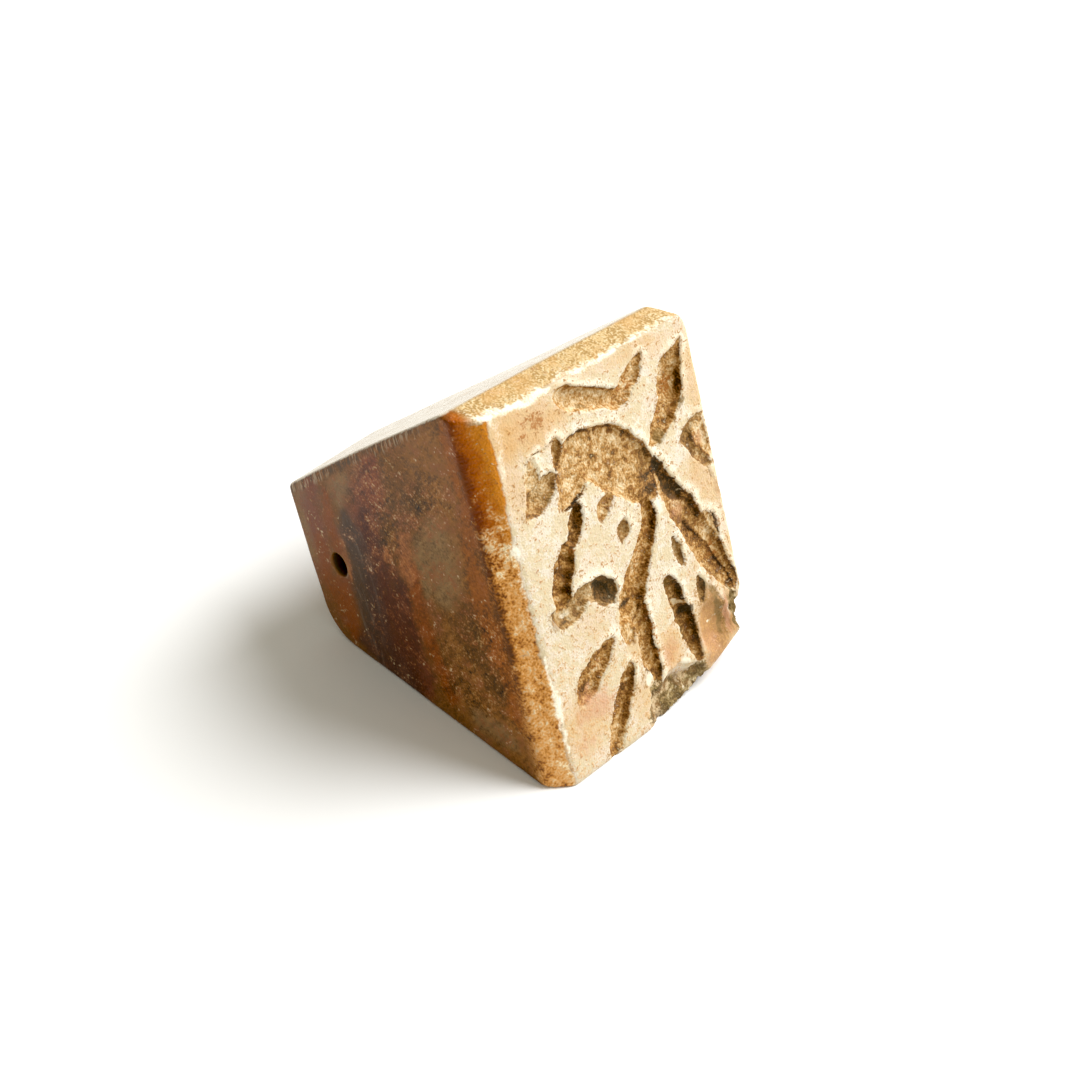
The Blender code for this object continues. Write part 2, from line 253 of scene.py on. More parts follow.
def outsideStone(p):
    # Millimetres outside the plain stone, below nought inside it
    value = np.hypot(p[:, 1] - arcY, p[:, 2] - arcZ) - arcRadius + slopeFall(p[:, 0], p[:, 1])
    for group, softness in facetGroups:
        value = smoothMax(value, (p @ group[:, :3].T - group[:, 3]).max(axis=1), softness)
    uv, behind = onFace(p), p[:, 1]
    low = np.flatnonzero((uv[:, 1] > lossRagged[0]) & (behind < lossRagged[1]))
    uv[low] = wobble(uv[low], "losses")
    for loss in losses.values():
        centre, half = loss["centre"], loss["half"]
        a, b = inOval(uv, centre, half, loss["tilt"])
        q = np.sqrt(a * a + b * b + ((behind + centre[2]) / half[2]) ** 2)
        value = smoothMax(value, (1 - q) * min(half), lossWear)
    return value


def corners(depth):
    # The corners (x, z) of the stone's cross-section at a depth: upper left and right, lower left and right
    half = faceW / 2 - depth * math.tan(math.radians(block["sideTaper"]))
    upper = [(x, arcZ + math.sqrt((arcRadius - slopeFall(x, depth)) ** 2 - (depth - arcY) ** 2))
             for x in (-half, half)]
    planes = downFacets
    lower = [(x, ((planes[:, 3] - planes[:, 0] * x - planes[:, 1] * depth) / planes[:, 2]).max())
             for x in (-half, half)]
    return np.array(upper + lower)


def reachSurface(start, direction, far):
    # Where each ray from inside the stone comes out of it, found by halving
    low, high = np.zeros(len(start)), np.full(len(start), far)
    for _ in range(22):
        middle = (low + high) / 2
        outside = outsideStone(start + direction * middle[:, None]) > 0
        high = np.where(outside, middle, high)
        low = np.where(outside, low, middle)
    return start + direction * low[:, None]


# The broken place at the foot of the face: (across, down, half width, half height)
fracturePatches = (
    (9.0, 21.2, 1.6, 1.5), (10.2, 21.0, 1.5, 1.15), (11.7, 20.9, 0.8, 1.0), (8.4, 20.0, 0.6, 0.5),
    (15.6, 18.5, 0.4, 1.3),
)
fractureBorder = (1.12, 0.3)     # in half sizes: where its border ends, and over how much it fades
fractureDeep = (2.4, 0.8)        # mm behind the face: the same


def fractureShare(points):
    # 1 inside the broken place, 0 outside it, with a ragged border
    uv = wobble(onFace(points), "fracture")
    share = np.zeros(len(uv))
    for cu, cv, hu, hv in fracturePatches:
        q = np.hypot(*inOval(uv, (cu, cv), (hu, hv), 0))
        share = np.maximum(share, np.clip((fractureBorder[0] - q) / fractureBorder[1], 0, 1))
    return share * np.clip((fractureDeep[0] - points[:, 1]) / fractureDeep[1], 0, 1)


# The gouge strokes. The first number times the half width is a stroke's depth, the second is its tone, from
# pale sand to nearly black, and the third its greyness, from orange-brown to olive. Then comes its path in
# mm: across from the left side, down from the top, half width.
strokes = {
    "leftAntler": (0.62, 0.26, 0.05, ((6.75, 2.2, 0.6), (7.6, 2.6, 0.62), (8.6, 2.98, 0.6),
        (9.6, 3.42, 0.56), (10.4, 3.68, 0.62), (11.15, 3.2, 0.62), (11.85, 2.65, 0.48), (12.4, 2.2, 0.26))),
    "rightAntler": (0.6, 0.4, 0.15, ((15.5, 2.55, 0.22), (15.0, 3.1, 0.52), (14.4, 3.75, 0.88),
        (14.15, 4.5, 0.98), (13.95, 5.2, 0.85), (13.35, 5.85, 0.72), (12.7, 6.4, 0.56),
        (12.1, 6.85, 0.38))),
    "ear": (0.6, 0.42, 0.7, ((16.3, 6.85, 0.14), (15.7, 6.95, 0.28), (15.0, 7.2, 0.42), (14.55, 7.65, 0.5),
        (14.75, 8.2, 0.46), (15.1, 8.8, 0.4), (15.5, 9.35, 0.36), (15.9, 9.7, 0.26), (16.2, 9.7, 0.14))),
    "earHollow": (0.3, 0.2, 0.1, ((15.8, 7.3, 0.4), (15.6, 7.9, 0.62), (15.75, 8.6, 0.55),
        (16.0, 9.2, 0.35))),
    "earTip": (0.8, 0.55, 0.5, ((15.6, 9.6, 0.1), (15.75, 10.1, 0.1), (15.75, 10.7, 0.08))),
    "tail": (0.5, 0.36, 0.5, ((4.75, 5.75, 0.4), (4.1, 6.1, 0.62), (3.4, 6.5, 0.62), (2.8, 6.95, 0.35))),
    "tailRoot": (0.26, 0.24, 0.35, ((3.55, 4.5, 0.32), (3.45, 5.1, 0.48), (3.45, 5.9, 0.62),
        (3.1, 6.5, 0.5))),
    "rump": (0.9, 0.55, 0.3, ((5.6, 4.15, 0.3), (5.45, 4.65, 0.38), (5.3, 5.2, 0.32))),
    "haunch": (0.24, 0.28, 0.15, ((6.9, 5.4, 1.15), (6.2, 6.1, 1.1), (5.6, 6.9, 0.75), (5.0, 7.4, 0.4))),
    "body": (0.22, 0.32, 0.2, ((6.4, 5.0, 0.85), (7.3, 5.45, 1.3), (8.3, 5.95, 1.55), (9.2, 6.65, 1.65),
        (10.1, 7.6, 1.55), (10.65, 8.6, 1.2))),
    "chest": (0.4, 0.42, 0.4, ((9.3, 5.6, 0.5), (10.3, 6.6, 0.7), (11.0, 7.6, 0.8), (11.1, 8.6, 0.7),
        (10.7, 9.4, 0.5))),
    "hock": (0.85, 0.6, 0.2, ((5.85, 8.05, 0.42), (5.65, 8.5, 0.56), (5.4, 9.0, 0.5), (5.0, 9.4, 0.35))),
    "hindLeg": (0.7, 0.54, 0.1, ((4.6, 9.7, 0.5), (4.2, 10.3, 0.66), (3.85, 11.0, 0.7), (3.55, 11.7, 0.72),
        (3.45, 12.3, 0.6))),
    "hindFoot": (0.55, 0.4, 0.85, ((2.75, 12.6, 0.35), (3.4, 13.0, 0.6), (4.2, 12.8, 0.62),
        (5.0, 12.45, 0.55), (5.7, 12.6, 0.55))),
    "hindHoof": (0.62, 0.6, 0.95, ((5.75, 12.5, 0.5), (6.25, 12.75, 0.72), (6.6, 13.1, 0.72),
        (6.75, 13.5, 0.4))),
    "udderMark": (0.6, 0.32, 0.3, ((7.4, 9.0, 0.36), (7.75, 8.6, 0.46), (8.2, 8.3, 0.4),
        (8.75, 8.0, 0.22))),
    "bellyMark": (0.7, 0.45, 0.75, ((8.75, 10.0, 0.25), (8.6, 10.4, 0.46), (8.4, 10.8, 0.32))),
    "foreLeg": (0.62, 0.45, 0.0, ((10.6, 9.9, 0.5), (10.55, 10.7, 0.6), (10.1, 11.5, 0.66),
        (9.45, 12.4, 0.74), (8.75, 13.3, 0.85), (8.1, 14.2, 0.9), (7.8, 14.9, 0.8))),
    "foreFoot": (0.68, 0.45, 0.1, ((8.2, 14.9, 0.66), (8.4, 15.8, 0.62), (8.42, 16.8, 0.6),
        (8.45, 17.8, 0.62), (8.6, 18.8, 0.48), (8.75, 19.6, 0.32))),
    "foreSpur": (0.4, 0.26, 0.2, ((7.7, 14.7, 0.6), (7.4, 15.4, 0.62), (7.35, 16.2, 0.4))),
    "leftDash": (0.6, 0.42, 0.1, ((6.0, 15.75, 0.36), (5.3, 16.15, 0.56), (4.5, 16.65, 0.7),
        (3.8, 17.15, 0.76), (3.25, 17.6, 0.5))),
    "lowerDash": (0.68, 0.46, 0.1, ((6.85, 17.75, 0.34), (6.45, 18.4, 0.56), (5.9, 19.2, 0.66),
        (5.4, 20.0, 0.64), (4.9, 20.8, 0.56), (4.5, 21.5, 0.42))),
    "neck": (0.42, 0.45, 0.2, ((11.75, 7.95, 0.4), (11.95, 8.7, 0.66), (12.35, 9.5, 0.74),
        (12.75, 10.4, 0.78), (13.15, 11.3, 0.95), (13.75, 12.7, 0.95), (14.2, 13.8, 0.95),
        (14.65, 14.9, 0.92), (15.15, 15.9, 0.8), (15.7, 16.8, 0.6))),
    "cheek": (0.34, 0.2, 0.4, ((14.7, 12.6, 0.5), (14.85, 13.2, 0.6), (15.0, 13.9, 0.45))),
    "cheekEdge": (0.9, 0.62, 0.5, ((15.15, 12.2, 0.08), (15.35, 12.7, 0.14), (15.4, 13.3, 0.17),
        (15.3, 13.9, 0.1))),
    "throatMark": (0.8, 0.42, 0.75, ((12.0, 12.5, 0.18), (12.1, 13.1, 0.36), (12.2, 13.7, 0.34),
        (12.25, 14.1, 0.18))),
    "farLeg": (0.85, 0.56, 0.3, ((11.0, 14.8, 0.45), (11.2, 15.5, 0.54), (11.42, 16.4, 0.56),
        (11.6, 17.3, 0.6), (11.75, 18.2, 0.6), (11.9, 19.1, 0.52), (12.05, 19.8, 0.32))),
    "breastMark": (0.85, 0.5, 0.75, ((13.2, 15.5, 0.22), (13.25, 16.05, 0.38), (13.2, 16.6, 0.28),
        (13.1, 17.0, 0.12))),
    # finer cuts inside and beside the large ones
    "neckGouge": (0.6, 0.78, 0.5, ((11.95, 7.7, 0.1), (12.12, 8.3, 0.16), (12.4, 8.95, 0.24),
        (12.7, 9.6, 0.42), (13.0, 10.1, 0.42), (13.35, 10.55, 0.2))),
    "neckEdge": (0.6, 0.66, 0.3, ((13.5, 10.6, 0.1), (13.85, 11.15, 0.13), (14.15, 11.7, 0.13),
        (14.3, 12.15, 0.1))),
    "neckKeel": (0.5, 0.42, 0.1, ((13.35, 12.4, 0.18), (13.85, 13.4, 0.3), (14.5, 14.6, 0.36),
        (15.05, 15.7, 0.34), (15.6, 16.9, 0.28))),
    "hoofPit": (0.5, 0.72, 0.8, ((6.1, 12.75, 0.35), (6.5, 13.0, 0.45), (6.7, 13.3, 0.3))),
    "tailLine": (1.2, 0.6, 0.5, ((3.95, 4.75, 0.04), (3.95, 5.05, 0.06), (3.9, 5.35, 0.03))),
    "flakeEdge": (0.8, 0.5, 0.4, ((14.2, 16.7, 0.05), (14.6, 17.6, 0.08), (14.7, 18.5, 0.08),
        (14.5, 19.3, 0.05))),
    "backEdge": (1.4, 0.62, 0.3, ((6.6, 4.12, 0.05), (7.8, 4.18, 0.06), (8.15, 4.5, 0.05))),
    "haunchEdge": (2.0, 0.75, 0.2, ((5.15, 7.75, 0.06), (5.7, 7.62, 0.08), (6.2, 7.45, 0.09),
        (6.75, 7.15, 0.06))),
    "backScratch": (1.6, 0.62, 0.3, ((3.2, 4.42, 0.05), (3.6, 4.22, 0.06), (4.1, 4.14, 0.06),
        (4.5, 4.12, 0.04), (5.0, 3.94, 0.05), (5.7, 3.95, 0.05))),
    "firstScratch": (2.2, 0.6, 0.5, ((7.0, 7.15, 0.04), (7.4, 7.25, 0.05), (7.6, 7.75, 0.04))),
    "secondScratch": (2.2, 0.6, 0.5, ((8.0, 7.1, 0.04), (8.5, 7.3, 0.05), (8.8, 7.9, 0.04))),
}
# mm: ridges across a stroke, and how deep a stroke is cut into another's floor
toolMarks = {"hindLeg": 0.045, "hindFoot": 0.03}
secondCuts = {"neckGouge": 0.14, "neckEdge": 0.06, "neckKeel": 0.1, "hoofPit": 0.16}
carving = {
    "lipWear": 1.06,             # worn lips make each stroke this much wider
    "runOut": (0.75, 0.45),      # past each end a stroke runs on, and narrows
    "smoothing": 6,              # points drawn for each one given
    "wallRun": 0.24,             # mm from a stroke's lip to its floor
    "wall": 0.72, "bowl": 0.28,  # shares of the depth in the wall and in the round of the floor
    "deep": 1.8,                 # mm behind the face where nothing is cut any more
    "ridgeStep": 0.8, "ridgeTone": 0.14,     # mm between two tool marks, and how much their tone differs
    "ridgeJitter": (0.9, 2.5),   # lump size in mm and strength of the noise that makes them uneven
    "dirtReach": 0.36,           # mm of dirt on the land beside a stroke
    "paleOff": 0.18, "paleReach": 0.4,       # mm from the lip to its pale fringe, and the fringe's width
    "shadeRimWidth": 0.1,             # mm of painted shade along the foot of the wall, strongest on the side turned from the light
}

# Bright places along the face's upper and left edges, worn and painted as highlight: strength, then (across,
# down, half width)
burnishHighlight = {
    "corner": (0.6, ((0.95, 0.3, 0.1), (1.05, 0.65, 0.14), (1.2, 1.05, 0.2))),
    "topLeft": (1.0, ((1.3, 1.1, 0.12), (2.2, 1.25, 0.17), (3.4, 1.36, 0.15), (4.4, 1.42, 0.16),
        (5.2, 1.38, 0.2), (5.9, 1.4, 0.1))),
    "topMiddle": (0.7, ((6.4, 1.15, 0.07), (7.3, 1.1, 0.09), (8.1, 1.25, 0.15), (8.9, 1.25, 0.1))),
    "topRight": (0.75, ((9.2, 1.25, 0.07), (10.5, 1.25, 0.13), (12.0, 1.16, 0.08), (13.5, 1.14, 0.09),
        (15.2, 1.14, 0.07))),
    "leftHigh": (0.5, ((1.8, 1.4, 0.26), (2.1, 2.2, 0.3), (1.9, 3.2, 0.2), (1.75, 4.4, 0.1))),
    "leftSpot": (1.0, ((1.3, 8.0, 0.18), (1.38, 8.3, 0.2))),
    "leftMiddle": (0.5, ((1.22, 9.2, 0.07), (1.2, 10.4, 0.1), (1.22, 11.6, 0.1), (1.25, 12.8, 0.08))),
    "leftLow": (0.9, ((1.34, 14.4, 0.05), (1.4, 15.8, 0.1), (1.44, 17.2, 0.15), (1.42, 18.6, 0.12),
        (1.36, 19.8, 0.05))),
    "besideBack": (0.4, ((10.9, 5.0, 0.3), (11.3, 5.8, 0.5), (11.8, 6.5, 0.3))),
}

# Darker and paler places in the strokes, partly painted shade where a wall is turned from the light and
# partly the stone's own tone, laid out as the spots are: dark above nought
shadeAndTone = (
    (11.6, 2.65, 0.3, 0.13, -30, 0.3), (12.35, 2.2, 0.2, 0.14, -30, 0.3), (10.3, 3.1, 0.2, 0.14, 0, 0.3),
    (9.3, 2.65, 0.35, 0.1, 20, 0.3), (13.45, 4.1, 0.2, 0.35, 0, 0.3), (15.1, 4.7, 0.2, 0.7, 8, 0.3),
    (14.25, 3.75, 0.4, 0.25, 0, -0.25), (14.1, 5.3, 0.4, 0.3, 0, -0.12), (13.4, 6.25, 0.3, 0.25, 0, 0.25),
    (8.35, 4.7, 0.14, 0.3, -20, 0.35), (9.6, 5.3, 0.5, 0.14, 35, 0.4), (10.2, 5.8, 0.2, 0.3, 0, 0.4),
    (10.4, 6.4, 0.25, 0.3, 0, 0.3), (9.6, 6.4, 0.3, 0.2, 0, 0.3), (11.0, 7.4, 0.9, 0.5, 20, 0.14),
    (11.4, 8.45, 0.7, 0.16, -6, 0.35), (10.1, 8.0, 0.4, 0.25, 0, 0.25), (7.0, 5.4, 0.4, 0.12, 20, 0.3),
    (8.0, 5.95, 0.5, 0.12, 30, 0.3), (11.1, 9.1, 0.6, 0.3, 0, 0.1), (6.0, 6.6, 0.8, 0.5, -30, -0.08),
    (8.9, 7.3, 0.25, 0.25, 0, 0.3), (10.6, 9.3, 0.35, 0.2, 0, 0.25), (9.2, 4.75, 0.3, 0.2, 30, 0.3),
    (6.2, 4.9, 0.4, 0.3, 0, 0.16), (11.9, 8.95, 0.3, 0.3, 0, -0.16), (10.0, 7.0, 0.3, 0.2, 40, 0.25),
    (5.4, 8.4, 0.15, 0.3, 0, 0.2), (5.75, 8.9, 0.22, 0.25, 0, 0.25), (3.5, 12.85, 0.55, 0.2, 0, -0.3),
    (2.6, 12.8, 0.15, 0.5, 0, 0.4), (3.3, 13.35, 0.5, 0.1, 8, 0.3), (10.85, 11.2, 0.2, 0.7, 12, 0.25),
    (9.4, 12.7, 1.2, 0.35, -48, -0.12), (8.1, 14.4, 0.4, 0.18, 0, 0.3), (9.0, 14.5, 0.2, 0.2, 0, 0.25),
    (10.0, 13.0, 0.15, 0.5, 30, 0.2), (9.1, 17.0, 0.16, 2.2, 0, 0.35), (8.7, 19.1, 0.4, 0.35, 0, 0.3),
    (8.2, 16.0, 0.2, 1.2, 0, -0.1), (3.7, 17.4, 0.6, 0.35, -20, 0.3), (4.0, 17.4, 0.22, 0.18, 0, -0.55),
    (5.65, 16.0, 0.2, 0.2, 0, 0.35), (4.3, 16.4, 0.45, 0.18, -30, 0.25),
    (5.1, 16.65, 0.6, 0.25, -35, -0.12), (6.3, 15.7, 0.3, 0.2, 0, -0.12), (6.95, 18.1, 0.3, 0.3, 0, 0.2),
    (6.2, 18.8, 0.6, 0.35, -50, 0.25), (5.0, 20.8, 0.5, 0.4, -50, -0.15), (13.0, 9.9, 0.5, 0.4, 50, 0.2),
    (12.7, 11.2, 0.55, 0.9, -20, -0.14), (12.6, 10.75, 0.16, 0.12, 0, 0.35),
    (13.8, 11.5, 0.2, 0.12, 30, 0.3), (13.4, 13.0, 0.3, 0.8, -15, 0.14), (15.0, 15.5, 0.5, 0.9, -25, 0.16),
    (15.7, 17.0, 0.3, 0.35, -30, 0.25), (11.3, 14.7, 0.4, 0.35, 0, -0.16), (11.55, 15.65, 0.4, 0.3, 0, 0.2),
    (11.65, 16.2, 0.5, 0.13, 12, -0.75), (12.0, 16.85, 0.5, 0.4, 10, 0.5), (12.2, 18.0, 0.25, 0.9, 0, 0.1),
    (11.6, 18.3, 0.16, 0.7, 0, -0.14), (13.5, 16.05, 0.2, 0.5, 0, 0.25), (12.9, 16.1, 0.16, 0.5, 0, -0.25),
    (6.7, 12.9, 0.5, 0.45, 0, 0.15), (10.7, 8.9, 1.2, 0.9, 10, 0.16), (10.9, 8.35, 0.9, 0.14, -4, 0.2),
    (12.1, 8.6, 0.3, 0.8, -20, 0.2), (13.2, 10.9, 0.6, 0.5, 30, -0.1), (13.2, 12.0, 0.9, 0.3, 40, 0.14),
    (14.2, 13.9, 0.3, 1.0, -28, 0.2), (14.6, 13.4, 0.5, 0.6, 0, -0.18), (3.05, 6.2, 0.14, 0.5, 12, 0.3),
    (3.0, 7.05, 0.5, 0.12, 10, 0.25), (4.4, 6.7, 0.5, 0.12, -38, 0.3), (5.2, 6.3, 0.3, 0.6, 30, 0.14),
    (6.6, 6.9, 0.5, 0.2, -20, 0.14), (14.7, 7.6, 0.5, 0.6, -20, 0.2), (14.9, 8.7, 0.25, 0.7, -25, 0.2),
    (15.8, 8.1, 0.4, 0.7, 0, -0.1), (12.6, 11.4, 0.4, 0.9, -20, 0.2), (13.6, 12.6, 0.4, 0.8, -25, 0.12),
    (9.9, 8.6, 0.3, 0.5, 0, 0.2), (11.3, 9.2, 0.5, 0.4, 0, 0.14), (5.0, 5.9, 0.5, 0.5, 0, 0.1),
    (6.8, 6.7, 0.9, 0.5, -10, 0.12),
)
spotBorder = (1.25, 0.9)         # in half sizes: where a soft spot ends, and over how much it fades


def blot(uv, places):
    # Soft ovals added up: across, down, half width, half height, tilt and strength
    total = np.zeros(len(uv))
    for cu, cv, hu, hv, tilt, strength in places:
        q = np.hypot(*inOval(uv, (cu, cv), (hu, hv), tilt))
        total += strength * smoothStep(spotBorder[0] - q, 0, spotBorder[1])
    return total


def strokeLine(path):
    # A smooth line through a stroke's places, run out at both ends
    path = np.array(path)
    ends = []
    for end, inner in ((path[0], path[1]), (path[-1], path[-2])):
        away = (end[:2] - inner[:2]) / np.linalg.norm(end[:2] - inner[:2])
        ends.append((*(end[:2] + away * end[2] * carving["runOut"][0]), end[2] * carving["runOut"][1]))
    knots = np.vstack([ends[0], path, ends[1]])
    padded = np.vstack([2 * knots[0] - knots[1], knots, 2 * knots[-1] - knots[-2]])
    line = []
    for i in range(1, len(padded) - 2):
        a, b, c, d = padded[i - 1:i + 3]
        for t in np.linspace(0, 1, carving["smoothing"], endpoint=False):
            line.append(0.5 * (2 * b + (c - a) * t + (2 * a - 5 * b + 4 * c - d) * t ** 2
                               + (3 * b - a - 3 * c + d) * t ** 3))
    line.append(knots[-1])
    line = np.array(line)
    line[:, 2] = np.clip(line[:, 2], 0.02, None) * carving["lipWear"]
    return line


def nearStroke(uv, line):
    # For each place: distance in half widths, half width there, length along, and how far it lies to the
    # upper right of the middle line, from -1 to 1
    best = np.full(len(uv), 9.0)
    width, along, lean = np.ones(len(uv)), np.zeros(len(uv)), np.zeros(len(uv))
    run = 0.0
    for a, b in zip(line[:-1], line[1:]):
        step = b[:2] - a[:2]
        length = np.linalg.norm(step)
        t = np.clip(((uv - a[:2]) @ step) / length ** 2, 0, 1)
        off = uv - (a[:2] + t[:, None] * step)
        half = a[2] + t * (b[2] - a[2])
        far = np.linalg.norm(off, axis=1)
        q = far / half
        closer = q < best
        best[closer], width[closer] = q[closer], half[closer]
        along[closer] = run + t[closer] * length
        lean[closer] = ((off[:, 0] - off[:, 1]) * 0.707 / np.maximum(far, 1e-6))[closer]
        run += length
    return best, width, along, lean


def carve(points):
    # Depth of the strokes in mm, their tone, greyness and painted shade along their edges at each place on
    # the face, and the dirty and pale fringes of the land beside them
    c = carving
    uv = wobble(onFace(points), "strokes")
    depth, tone, grey, edge, dirty, pale = np.zeros((6, len(uv)))
    front = points[:, 1] < c["deep"]
    for name, (steep, dark, drab, path) in strokes.items():
        line = strokeLine(path)
        pad = line[:, 2].max() + 1.0
        low, high = line[:, :2].min(0) - pad, line[:, :2].max(0) + pad
        here = np.flatnonzero(front & (uv > low).all(1) & (uv < high).all(1))
        q, half, along, lean = nearStroke(uv[here], line)
        inside = np.clip(1 - q * q, 0, None)
        wall = smoothStep((1 - q) * half / np.minimum(c["wallRun"], half))
        cut = steep * half * (c["wall"] * wall + c["bowl"] * inside)
        hereTone = np.full(len(here), dark)
        if name in toolMarks:
            size, much = c["ridgeJitter"]
            jitter = smoothNoise(np.column_stack([uv[here], along]), size, 12)
            swing = np.sin(along * 2 * math.pi / c["ridgeStep"] + jitter * much)
            cut += toolMarks[name] * swing * wall
            hereTone = hereTone + c["ridgeTone"] * swing
        if name in secondCuts:
            cut = np.where(q < 1, depth[here] + secondCuts[name] * inside ** 0.6, 0)
            hereTone += 0.06 * smoothNoise(points[here], 0.5, 14)
        else:
            past = np.clip((q - 1) * half, 0, None)
            dirty[here] = np.maximum(dirty[here], np.exp(-past / c["dirtReach"]))
            fringe = np.exp(-np.abs(past - c["paleOff"]) / c["paleReach"]) * np.clip(lean * 1.3, 0, 1)
            pale[here] = np.maximum(pale[here], fringe)
        mark = np.clip((1.05 - q) / 0.2, 0, 1)
        stronger = cut > depth[here]
        tone[here] = np.where(stronger, hereTone * mark + tone[here] * (1 - mark), tone[here])
        grey[here] = np.where(stronger, drab * mark + grey[here] * (1 - mark), grey[here])
        # painted shade: a dark rim at the foot of each wall, strongest on the upper right, which is turned
        # from the light
        rim = np.exp(-(((q - 0.9) * half) / c["shadeRimWidth"]) ** 2)
        rim = rim * np.clip(half / 0.3, 0, 1) * np.clip(0.55 + lean, 0.2, 1.2)
        fresh = stronger | (depth[here] < 0.05)
        edge[here] = np.where(fresh, np.maximum(edge[here], rim), edge[here] * (q > 0.8))
        depth[here] = np.maximum(depth[here], cut)
    tone += blot(uv, shadeAndTone) * np.clip(depth / 0.05, 0, 1)
    return depth, tone, grey, edge, dirty, pale


# The mesh
stoneMesh = {
    "across": 224, "down": 292,      # fine cells of the front, multiples of 4
    "crowding": (0.35, 0.3),         # how much they crowd towards the edges, across and down
    "rim": 1.8,                      # mm behind the face where the fine front ends
    "border": 2.3,                   # mm over which its rays turn from outwards to forwards
    "rings": 66,                     # rings from there to where the back begins to round
    "roundRings": 14,                # rings round to the flat back
    "backRim": 16.94,                # mm behind the face where the flat back begins
    "backBorder": 0.5,
    "far": 20.0,                     # mm, longer than any ray from the middle
    "dive": 2.2, "diveFar": 5.0,     # mm, how far inside the other rays start, and how long they are
}


def spread(count, ease):
    # 0 to 1 in even steps that crowd a little towards both ends
    t = np.linspace(0, 1, count + 1)
    return t - ease * np.sin(2 * math.pi * t) / (2 * math.pi)


def spanned(corner, s, t):
    # Places (x, z) spread between four corners by their shares across and down
    return (1 - t) * ((1 - s) * corner[0] + s * corner[1]) + t * ((1 - s) * corner[2] + s * corner[3])


def level(places, depth):
    # Places (x, z) as rays or points at one depth
    return np.column_stack([places[:, 0], np.full(len(places), depth), places[:, 1]])


def endGrid(s, t, depthRim, depthFlat, border, facing):
    # A grid over the front or the back. Its rays turn from straight out at its border to
    # square with the face inside, so that the cells follow the bevels.
    g, n, m = stoneMesh, len(s), len(t)
    corner, flatCorner = corners(depthRim), corners(depthFlat)
    middle = corner.mean(0)
    a, b = s[:, None, None], t[None, :, None]
    nominal = spanned(corner, a, b).reshape(-1, 2)
    away = nominal - middle
    away /= np.maximum(np.linalg.norm(away, axis=1), 1e-6)[:, None]
    wide, tall = corner[1, 0] - corner[0, 0], corner[0, 1] - corner[2, 1]
    edge = np.minimum(wide * np.minimum(s, 1 - s)[:, None], tall * np.minimum(t, 1 - t)[None, :]).ravel()
    onRim = edge < 1e-6
    rim = np.zeros((n * m, 3))
    start = level(np.tile(middle, (onRim.sum(), 1)), depthRim)
    rim[onRim] = reachSurface(start, level(away[onRim], 0.0), g["far"])
    rim = rim.reshape(n, m, 3)
    coons = ((1 - b) * rim[:, :1] + b * rim[:, -1:] + (1 - a) * rim[:1] + a * rim[-1:]
             - (1 - a) * (1 - b) * rim[:1, :1] - a * (1 - b) * rim[-1:, :1]
             - (1 - a) * b * rim[:1, -1:] - a * b * rim[-1:, -1:]).reshape(-1, 3)
    near = np.clip(1 - edge / border, 0, 1)
    turn = smoothStep(near)
    share = (1 - near ** 2)[:, None]
    coons[:, 1] = depthRim + (depthFlat - depthRim) * share[:, 0]
    coons[:, ::2] += (spanned(flatCorner, a, b).reshape(-1, 2) - nominal) * share
    direction = np.column_stack([away[:, 0] * turn, facing * (1 - turn), away[:, 1] * turn])
    direction /= np.linalg.norm(direction, axis=1)[:, None]
    points = reachSurface(coons - direction * g["dive"], direction, g["diveFar"])
    points[onRim] = rim.reshape(-1, 3)[onRim]
    return points.reshape(n, m, 3), direction.reshape(n, m, 3)


def borderWalk(n, m):
    # Index pairs once round a grid of n x m points
    top = [(i, 0) for i in range(n - 1)]
    right = [(n - 1, j) for j in range(m - 1)]
    bottom = [(i, m - 1) for i in range(n - 1, 0, -1)]
    left = [(0, j) for j in range(m - 1, 0, -1)]
    return top + right + bottom + left


def gridFaces(n, m, first, order):
    # Four-sided faces over a grid of n x m points; order gives the way round them
    index = np.arange(n * m).reshape(n, m) + first
    corner = (index[:-1, :-1], index[1:, :-1], index[1:, 1:], index[:-1, 1:])
    return np.stack([corner[k] for k in order], -1).reshape(-1, 4).tolist()


